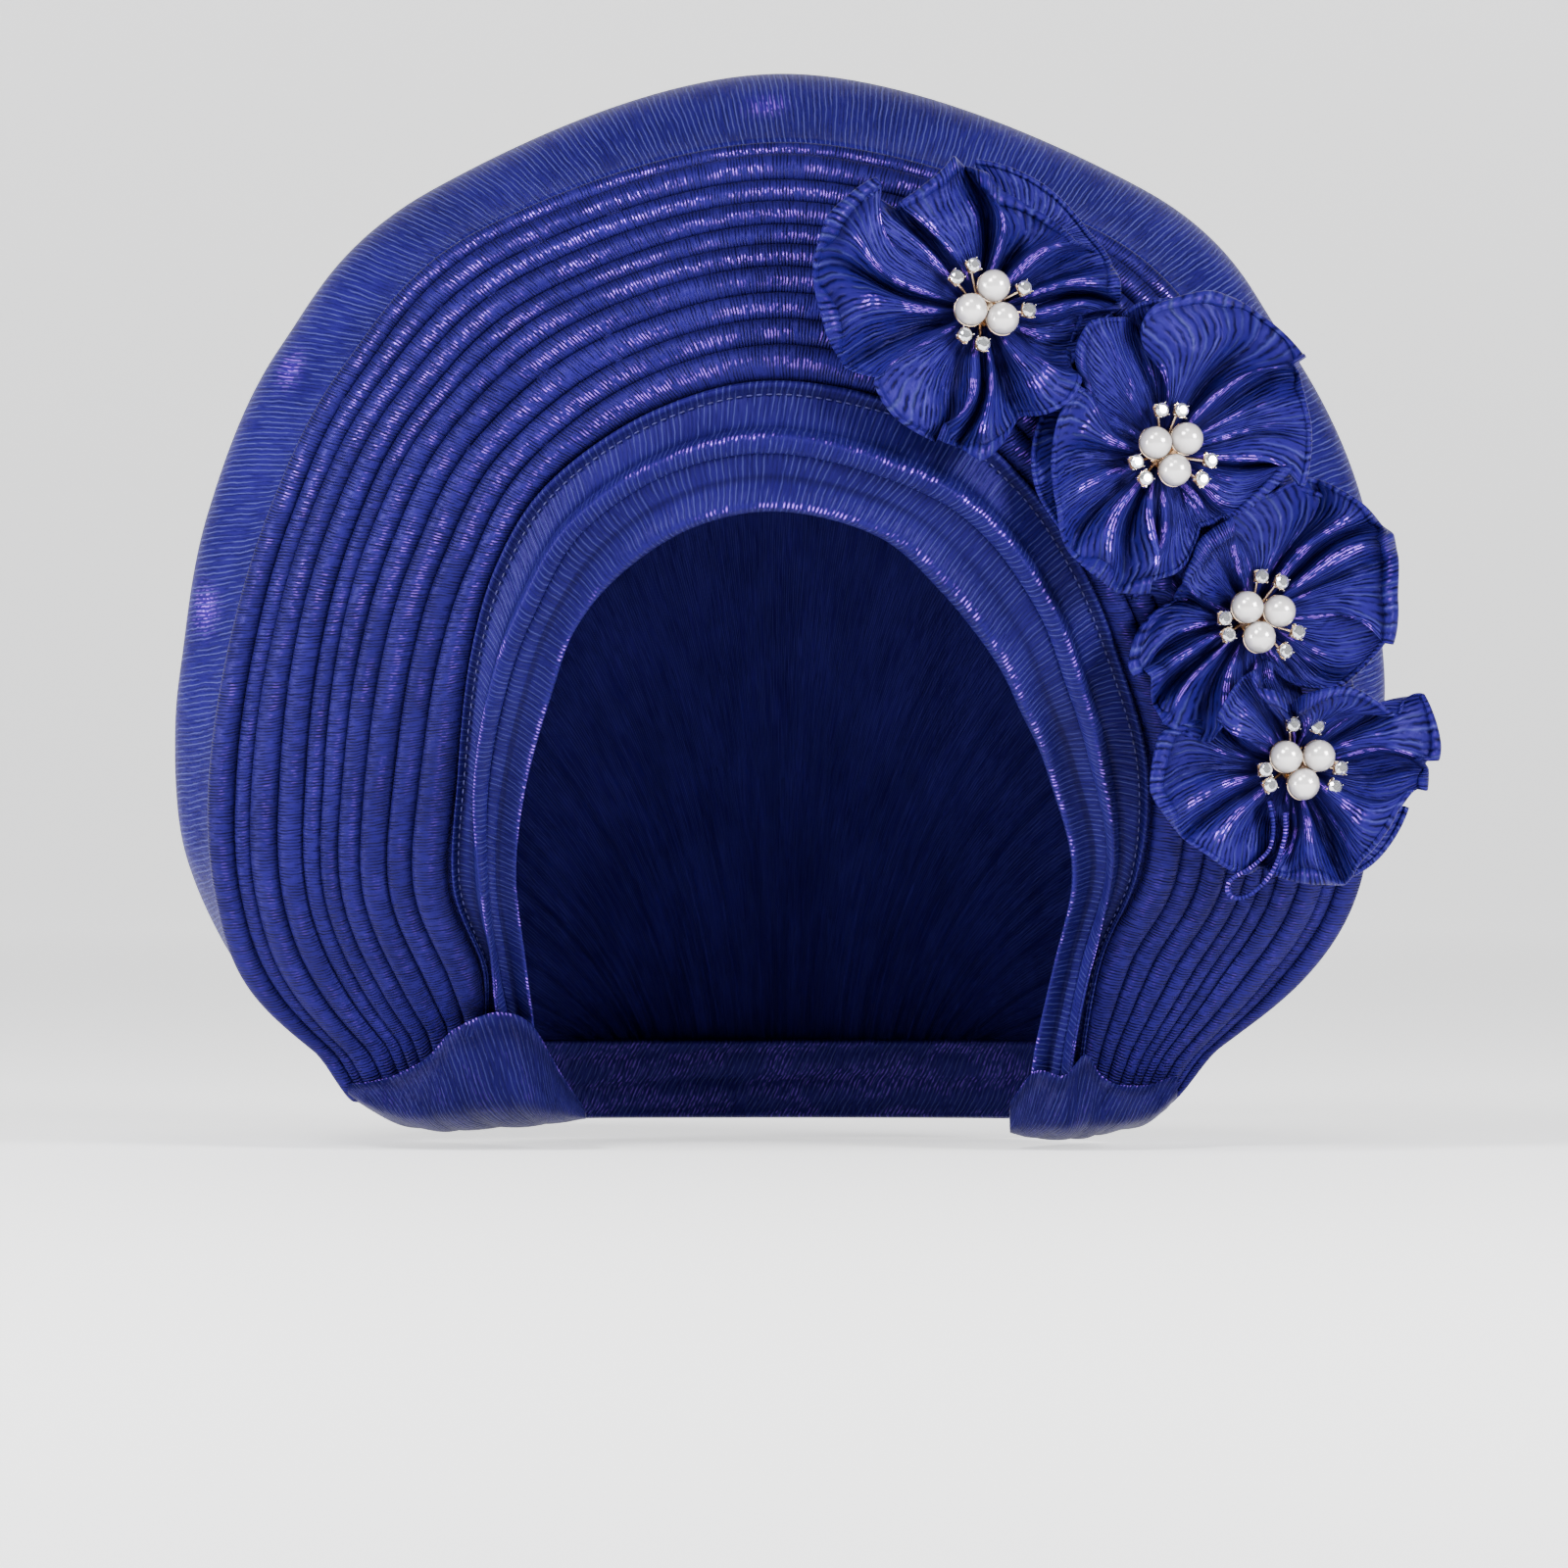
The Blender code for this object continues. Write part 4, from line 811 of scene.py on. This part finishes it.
def gathers(turn, seed):  # the fine folds, 0 to 1
    folds = rosetteLook["fineFolds"]
    starts = np.random.default_rng(seed).uniform(0, math.pi, len(folds))
    return sum(share * np.abs(np.sin(turn * count / 2 + start))
               for (count, share), start in zip(folds, starts))


def petalHeight(number, turns, shares, innerLift, lift, sag):
    # The front's height over its plane in millimetres, with its folds, gathers and crumples.
    look = rosetteLook
    rise = np.clip((shares - look["riseStart"]) / (1 - look["riseStart"]), 0, 1)
    dome = 1.5 - 0.75 * np.clip(lift / 12, 0, 1)
    height = (innerLift * (1 - rise ** 2) + lift * rise ** 2) * rise ** dome - sag * np.sin(math.pi * rise)
    wrinkle = (gathers(turns, 100 * number) - 0.6) * look["gathers"] * np.sin(math.pi * shares ** 0.5) ** 1.5
    billow = np.sin(7 * turns + 5 * shares + number) * np.sin(4 * turns - 6 * shares) * rise * look["billow"]
    height = np.maximum(height, 0.5 * np.minimum(shares * 4, 1)) + (wrinkle + billow)
    for count, swirl, size in look["crumples"]:
        phase = count / 2 * (turns + 0.25 * np.sin(3 * turns + number) + swirl * shares / 3)
        height = height + size * (np.abs(np.sin(phase)) ** 0.7 - 0.7) * smoothStep(shares, 0.2, 0.6)
    return height - look["fall"] * smoothStep(shares, 0.72, 1.05) * smoothStep(lift, 2, 12)


def petalStrip(number, angles, reach, innerLift, lift, sag, curls, firstShare=0.0):
    # The doubled cloth from the middle over its folded edge and back, as one strip.
    look = rosetteLook
    x, z, leanX, leanZ = rosettes[number]["place"]
    turns = np.radians(angles)
    shares = np.linspace(firstShare, 1, look["rings"])[:, None]
    backShares = shares[::-2]
    bends = np.linspace(0, math.pi, look["rollSteps"] + 1)[1:, None]
    rolled = smoothStep(lift, 4, 13) * np.clip(0.45 + 0.75 * np.sin(4 * turns + 2 * number), 0, 1)
    thick = look["roll"][0] + look["roll"][1] * rolled
    height = petalHeight(number, turns, shares, innerLift, lift, sag)
    height = np.vstack([height, height[-1] + look["rollForward"] * thick * np.sin(bends),
                        height[::-2] - look["cloth"] * np.minimum(1, 0.4 + backShares)])
    radius = np.maximum((reach - 2 * thick) * shares, look["pinch"] * shares * 1.2)
    radius = np.vstack([radius, radius[-1] + thick * (1 - np.cos(bends)), radius[::-2]])
    grown = np.vstack([shares, np.ones_like(bends), backShares])
    turn = leanOver(angles, curls, grown ** 1.5)
    px = radius * np.cos(turn) - leanX * look["pinchShift"] * (1 - grown)
    pz = radius * np.sin(turn) - leanZ * look["pinchShift"] * (1 - grown)
    points = np.stack([x + px, -height + leanX * px + leanZ * pz, z + pz], -1) * mm
    # painted light on the petals: painted highlight on bulges, painted shade in hollows and towards the
    # middle, and painted shade inside the rolled rim
    bent = bulge(points[:len(shares)], look["bulgeSpread"]) * smoothStep(shares, 0.18, 0.4)
    paintedLightAndShade = smoothStep(bent, *look["crest"]) - smoothStep(-bent, *look["hollowShade"])
    paintedLightAndShade = paintedLightAndShade - 0.5 * (1 - smoothStep(shares, 0.15, 0.5))
    paintedLightAndShade = paintedLightAndShade * (1 - smoothStep(shares, 0.86, 0.95)) - rolled * smoothStep(shares, 0.90, 1.0)
    # painted highlight over the top of the rolled rim and painted shade where it rolls up from the petal
    rim = rolled * (0.25 * hump(bends, 1.35, 0.35) - hump(bends, 0, 0.35))
    paintedLightAndShade = np.vstack([paintedLightAndShade, rim, np.zeros((len(backShares), len(angles)))])
    down = np.concatenate([[0], np.abs(np.diff(radius.mean(1))) + 0.15]).cumsum()[:, None] * mm
    return clothStrip(points, turns * look["threadWidth"] * mm, down, paintedLightAndShade, 0.75)


def makeRosette(number):
    table = rosettes[number]
    angles = np.linspace(-5, 355, rosetteLook["columns"] + 1)
    folded = [np.append(values[:-1], values[0]) for values in foldValues(table["folds"], angles)]
    strips = [petalStrip(number, angles, *folded, table["curls"])]
    for first, last, *outline, height in table["under"]:
        share = np.linspace(0, 1, rosetteLook["underColumns"])
        outer = through(np.array(outline)[:, None], share * 2)[:, 0]
        lift = height + 1.2 * np.sin(share * 9 + number)
        angles = first + (last - first) * share
        strips.append(petalStrip(number, angles, outer, lift, lift, 0 * share, [], 0.3))
    shift = broochFrame(number)[1].y - strips[0]["points"][0, 0, 1]
    for strip in strips:
        strip["points"][..., 1] += shift
    clothPiece(f"rosette{number}", strips, petalCloth, f"rosette_{number}", crease=75, side="out",
               flat=table["cut"], held="gathered", rests_on=["pleatedFan"])


tail = {
    "path": [(-5.5, -9), (-4.5, -15), (-5.5, -21), (-10, -25.5), (-15, -28.5), (-16, -31), (-14, -32.5),
             (-10, -31), (-5.5, -26), (-2.6, -18), (-2.4, -12)],
    "steps": 90, "rows": 9, "back": (0.8, 5.0, 0.4), "forward": 18.0,
}


def makeTail():
    low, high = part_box("rosette_4_tail")
    x, z, leanX, leanZ = rosettes[4]["place"]
    line = smoothLine([(x, 0, z) for x, z in tail["path"]], tail["steps"])
    line[:, 1] = leanX * line[:, 0] + leanZ * line[:, 2]
    line += np.array([x - leanX * rosetteLook["pinchShift"], 0, z]) * mm
    across = np.linspace(0, 1, tail["rows"])
    points = np.stack([line + np.array(tail["back"]) * mm * share for share in across])
    points[..., 1] += low.y - points[..., 1].min() - tail["forward"] * mm
    # an even faint painted highlight, with sparse painted glints
    strip = clothStrip(points, lengthAlong(line), tail["back"][1] * mm * across[:, None], 0.4, 0.3)
    clothPiece("rosetteTail", [strip], petalCloth, "rosette_4_tail", wall=0.9, side="kept",
               flat=(0.056, 0.010), area=0.0004, held="folded", rests_on=["rosette4"])


# Beads and stitches along lines, by Geometry Nodes

beadGroup = {
    "name": "beadsAlongLines", "sphere": {"Segments": 10, "Rings": 6, "Radius": 0.5},
    "inputs": {"Lines": "Geometry", "Count": "Int", "Size": "Vector", "Up": "Vector", "Material": "Material"},
}


def beadsGroup():
    group = bpy.data.node_groups.get(beadGroup["name"])
    if group:
        return group
    group = bpy.data.node_groups.new(beadGroup["name"], "GeometryNodeTree")
    for name, kind in beadGroup["inputs"].items():
        group.interface.new_socket(name=name, in_out="INPUT", socket_type="NodeSocket" + kind)
    group.interface.new_socket(name="Beads", in_out="OUTPUT", socket_type="NodeSocketGeometry")
    tree = Tree(group)
    given = tree.node("NodeGroupInput").socket.node.outputs
    lines, count, size, up, material = (Value(tree, given[name]) for name in beadGroup["inputs"])
    line = tree.node("GeometryNodeMeshToCurve", {"Mesh": lines})
    steps = tree.node("GeometryNodeResampleCurve", {"Curve": line, "Count": count})
    turn = tree.node("FunctionNodeAxesToRotation",
                     {"Primary Axis": tree.node("GeometryNodeInputTangent"), "Secondary Axis": up},
                     primary_axis="X", secondary_axis="Z")
    bead = tree.node("GeometryNodeMeshUVSphere", beadGroup["sphere"])
    smooth = tree.node("GeometryNodeSetShadeSmooth", {"Geometry": bead})
    beads = tree.node("GeometryNodeInstanceOnPoints",
                      {"Points": steps, "Instance": smooth, "Rotation": turn, "Scale": size})
    real = tree.node("GeometryNodeRealizeInstances", {"Geometry": beads})
    tree.node("NodeGroupOutput", {"Beads": tree.node("GeometryNodeSetMaterial",
                                                     {"Geometry": real, "Material": material})})
    return group


def beadsAlong(name, lines, count, size, up, material, closed=False):
    # Returns a mesh of beads along the lines, each a list of points.
    points, edges = [], []
    for line in lines:
        start, last = len(points), len(line) - 1
        points += [tuple(point) for point in line]
        edges += [(start + step, start + step + 1) for step in range(last)]
        if closed:
            edges.append((start + last, start))
    mesh = bpy.data.meshes.new(name)
    mesh.from_pydata(points, edges, [])
    item = addObject(name, mesh)
    modifier = item.modifiers.new("beads", "NODES")
    modifier.node_group = beadsGroup()
    values = {"Count": count, "Size": Vector(size) * mm, "Up": up, "Material": material}
    for socket in modifier.node_group.interface.items_tree:
        if socket.name in values:
            modifier[socket.identifier] = values[socket.name]
    bpy.context.view_layer.update()
    made = bpy.data.meshes.new_from_object(item.evaluated_get(bpy.context.evaluated_depsgraph_get()))
    bpy.data.objects.remove(item)
    return made


# Brooches

brooch = {
    "clearance": 0.3, "pearl": 8.0, "pearlRing": 4.85, "pearlHeight": 6.9, "crystal": 3.5,
    "crystalRing": 10.2, "crystalHeight": 7.35, "cupFloor": 4.6, "cupSide": 3.3, "wire": 0.85,
    "prong": (0.62, 0.62, 2.3), "prongPlace": (0.93, 1.65), "rimRadius": 3.75, "rimDrop": 1.35,
    "rimWire": 0.32,
    # profiles of the base and of a pearl's cup, and the path of a wire: radius, height
    "base": [(0.3, 0), (4.4, 0), (4.488, 0.48), (4.092, 1.6), (0.3, 1.76)],
    "pearlCup": [(0.3, -5.2), (1.6, -5.0), (2.9, -3.2), (2.7, -3.0), (1.4, -4.4), (0.3, -4.3)],
    "wirePath": [(2.2, 0.96), (7.344, 2.852), (10.2, 4.8)],
    # a crystal's square cup from the floor up and in again: share of its side, height
    "squareCup": [(0.70, 0.0), (1.0, 1.3), (0.84, 1.3), (0.6, 0.4)],
    # rings of a crystal's corners: number, turn in steps, share of its radius, height in radii
    "facets": [(8, 0.0, 0.56, 0.42), (8, 0.5, 0.83, 0.26), (16, 0.0, 1.0, 0.04), (16, 0.0, 1.0, -0.04),
               (8, 0.5, 0.52, -0.46), (1, 0.0, 0.0, -0.80)],
    # directions of the pearls and of the crystals, in degrees from +X towards +Z
    "directions": [((71, 197, 313), (109, 140, 24, -8, 230, 258)),
                   ((158, 37, 274), (105, 75, 197, 223, 317, 347)),
                   ((148, 20, 260), (92, 60, 181, 205, 307, 340)),
                   ((157, 26, 272), (105, 68, 187, 210, 327, 355))],
}


def around(angle, radius, height):
    turn = math.radians(angle)
    return Vector((radius * math.cos(turn), radius * math.sin(turn), height)) * mm


def pearlPlace(angle):
    return around(angle, brooch["pearlRing"], brooch["pearlHeight"])


def broochFrame(number):
    _, _, leanX, leanZ = rosettes[number]["place"]
    face = Vector((leanX, -1, leanZ)).normalized()
    right = Vector((1, leanX, 0)).normalized()
    turn = Matrix((right, face.cross(right).normalized(), face)).transposed()
    low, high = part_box(f"pearl_{number}_1")
    middle = (low + high) / 2 - turn @ pearlPlace(brooch["directions"][number - 1][0][0])
    return Matrix.Translation(middle) @ turn.to_4x4(), middle - face * brooch["clearance"] * mm


def joinRings(work, rings, closed=False):
    # Faces between rings of points, and over the two ends unless the rings close on themselves.
    rings = [[work.verts.new(point) for point in ring] for ring in rings]
    for low, high in zip(rings, rings[1:] + rings[:1] * closed):
        for corners in zip(low, low[1:] + low[:1], high[1:] + high[:1], high):
            work.faces.new(corners)
    if not closed:
        work.faces.new(rings[0][::-1])
        work.faces.new(rings[-1])


def tube(work, points, radius, sides=10):
    # A round bar through the points.
    rings, side = [], Vector((0, 0, 1))
    for index, point in enumerate(points):
        ahead = points[min(index + 1, len(points) - 1)] - points[max(index - 1, 0)]
        across = ahead.cross(side).normalized()
        up = across.cross(ahead).normalized()
        rings.append([point + (across * math.cos(turn) + up * math.sin(turn)) * radius
                      for turn in (2 * math.pi * step / sides for step in range(sides))])
    joinRings(work, rings)


def turned(work, profile, centre, sides=32):
    # A body turned round an axis through centre, from its profile of (radius, height) in millimetres.
    joinRings(work, [[centre + around(360 * step / sides, radius, height) for step in range(sides)]
                     for radius, height in profile], closed=True)


def squareCorners(angle, share, height):
    # The corners of a square over a crystal's place, at a height above the floor of its cup.
    half = brooch["cupSide"] / 2 * share
    centre = around(angle, brooch["crystalRing"], brooch["cupFloor"])
    turn = Matrix.Rotation(math.radians(angle), 3, "Z")
    return [centre + turn @ Vector((x * half, y * half, height)) * mm
            for x, y in ((-1, -1), (1, -1), (1, 1), (-1, 1))]


def finished(work, name):
    mesh = bpy.data.meshes.new(name)
    work.to_mesh(mesh)
    work.free()
    return mesh


def broochMetal(number, pearls, crystals):
    look, work = brooch, bmesh.new()
    turned(work, look["base"], Vector((0, 0, 0)))
    wire, reach, drop = look["rimWire"], look["rimRadius"], -look["rimDrop"]
    rim = [(reach + wire * math.cos(turn), drop + wire * math.sin(turn))
           for turn in (2 * math.pi * step / 8 for step in range(8))]
    for angle in pearls:
        turned(work, look["pearlCup"], pearlPlace(angle))
        turned(work, rim, pearlPlace(angle), 40)
    for angle in crystals:
        start, bend, end = (around(angle, *place) for place in look["wirePath"])
        points = [start * (1 - share) ** 2 + bend * (2 * share * (1 - share)) + end * share ** 2
                  for share in np.linspace(0, 1, 9)]
        tube(work, points, look["wire"] / 2 * mm)
        joinRings(work, [squareCorners(angle, *ring) for ring in look["squareCup"]])
    bmesh.ops.recalc_face_normals(work, faces=work.faces)
    return finished(work, f"broochMount{number}")


def pearlMesh(name, angle):
    work, place = bmesh.new(), Matrix.Translation(pearlPlace(angle))
    radius = brooch["pearl"] / 2 * mm
    bmesh.ops.create_uvsphere(work, u_segments=48, v_segments=32, radius=radius, matrix=place)
    return finished(work, name)


def crystalMesh(name, angle):
    # A round brilliant: table, crown, girdle and pavilion, each ring turned against the next.
    work, radius = bmesh.new(), brooch["crystal"] / 2
    centre = around(angle, brooch["crystalRing"], brooch["crystalHeight"])
    for count, shift, reach, height in brooch["facets"]:
        for step in range(count):
            turn = angle + 360 * (step + shift) / count
            work.verts.new(centre + around(turn, radius * reach, radius * height))
    bmesh.ops.convex_hull(work, input=work.verts)
    return finished(work, name)


def makeBrooch(number):
    matrix = broochFrame(number)[0]
    pearls, crystals = brooch["directions"][number - 1]
    addPiece(f"broochMount{number}", broochMetal(number, pearls, crystals), goldMetal,
             [f"brooch_mount_{number}"], matrix=matrix)
    corners = [squareCorners(angle, *brooch["prongPlace"]) for angle in crystals]
    prongs = beadsAlong(f"prongs{number}", corners, 4, brooch["prong"], (0, 0, 1), silverMetal, closed=True)
    addPiece(f"prongs{number}", prongs, silverMetal, matrix=matrix)
    kinds = (("pearl", pearls, pearlMesh, pearlGloss, 80),
             ("crystal", crystals, crystalMesh, clearCrystal, 0))
    for kind, angles, makeMesh, material, crease in kinds:
        for index, angle in enumerate(angles, 1):
            name, node = f"{kind}{number}x{index}", f"{kind}_{number}_{index}"
            addPiece(name, makeMesh(name, angle), material, [node], crease, matrix)


# The cloths: one fabric whose brightness is set piece by piece as painted light and shade, with that
# brightness, the shine, ribs and painted glints of each; and the other surfaces, with the colour,
# roughness, metallic share, mottle and fineness of each

crinkle = clothMaterial("crinkleCloth", 0.66, 0.10, 1.0, 3.0, stripes=0.2, fineness=1.3, sheen=0.01)
panelCloth = clothMaterial("panelCloth", 0.66, 0.04, 0.5, 2.4, slant=0.1)
bandCloth = clothMaterial("bandCloth", 0.54, 0.07, 0.4, 2.6, stripes=0.7, slant=0.2)
wrapCloth = clothMaterial("wrapCloth", 0.33, 0.06, 0.5, 2.8, stripes=0.9, slant=0.5)
petalCloth = clothMaterial("petalCloth", 0.88, 0.09, 1.0, 9.0, stripes=0.5, fineness=1.2, rough=0.40)
threadDye = shinyMaterial("hemThread", (0.014, 0.012, 0.12), 0.5, 0.0, 0.5, 900)
goldMetal = shinyMaterial("paleGold", (0.86, 0.66, 0.46), 0.14, 1.0, 0.12, 300)
silverMetal = shinyMaterial("silverProngs", (0.86, 0.84, 0.80), 0.12, 1.0, 0.10, 400)
# the pearls' edge colour is painted shade where they turn away
pearlGloss = shinyMaterial("pearlGloss", (0.83, 0.80, 0.80), 0.16, 0.3, 0.04, 120,
                           edge=(0.14, 0.115, 0.11), coat=1.0)
clearCrystal = shinyMaterial("clearCrystal", (0.80, 0.82, 0.86), 0.0, 0.85, 0.06, 500)


# The whole

makeCamera()
makeStudio()
print("studio set")
makeFan()
makeCrown()
makeBands()
makeWrap("leftWrap", "left_wrap", wraps["left"], 1)
makeWrap("rightWrap", "right_wrap", wraps["right"], 2)
makeNape()
makeStitches()
print("head tie sewn")
for number in range(1, 5):
    makeRosette(number)
    makeBrooch(number)
makeTail()
print("rosettes gathered")
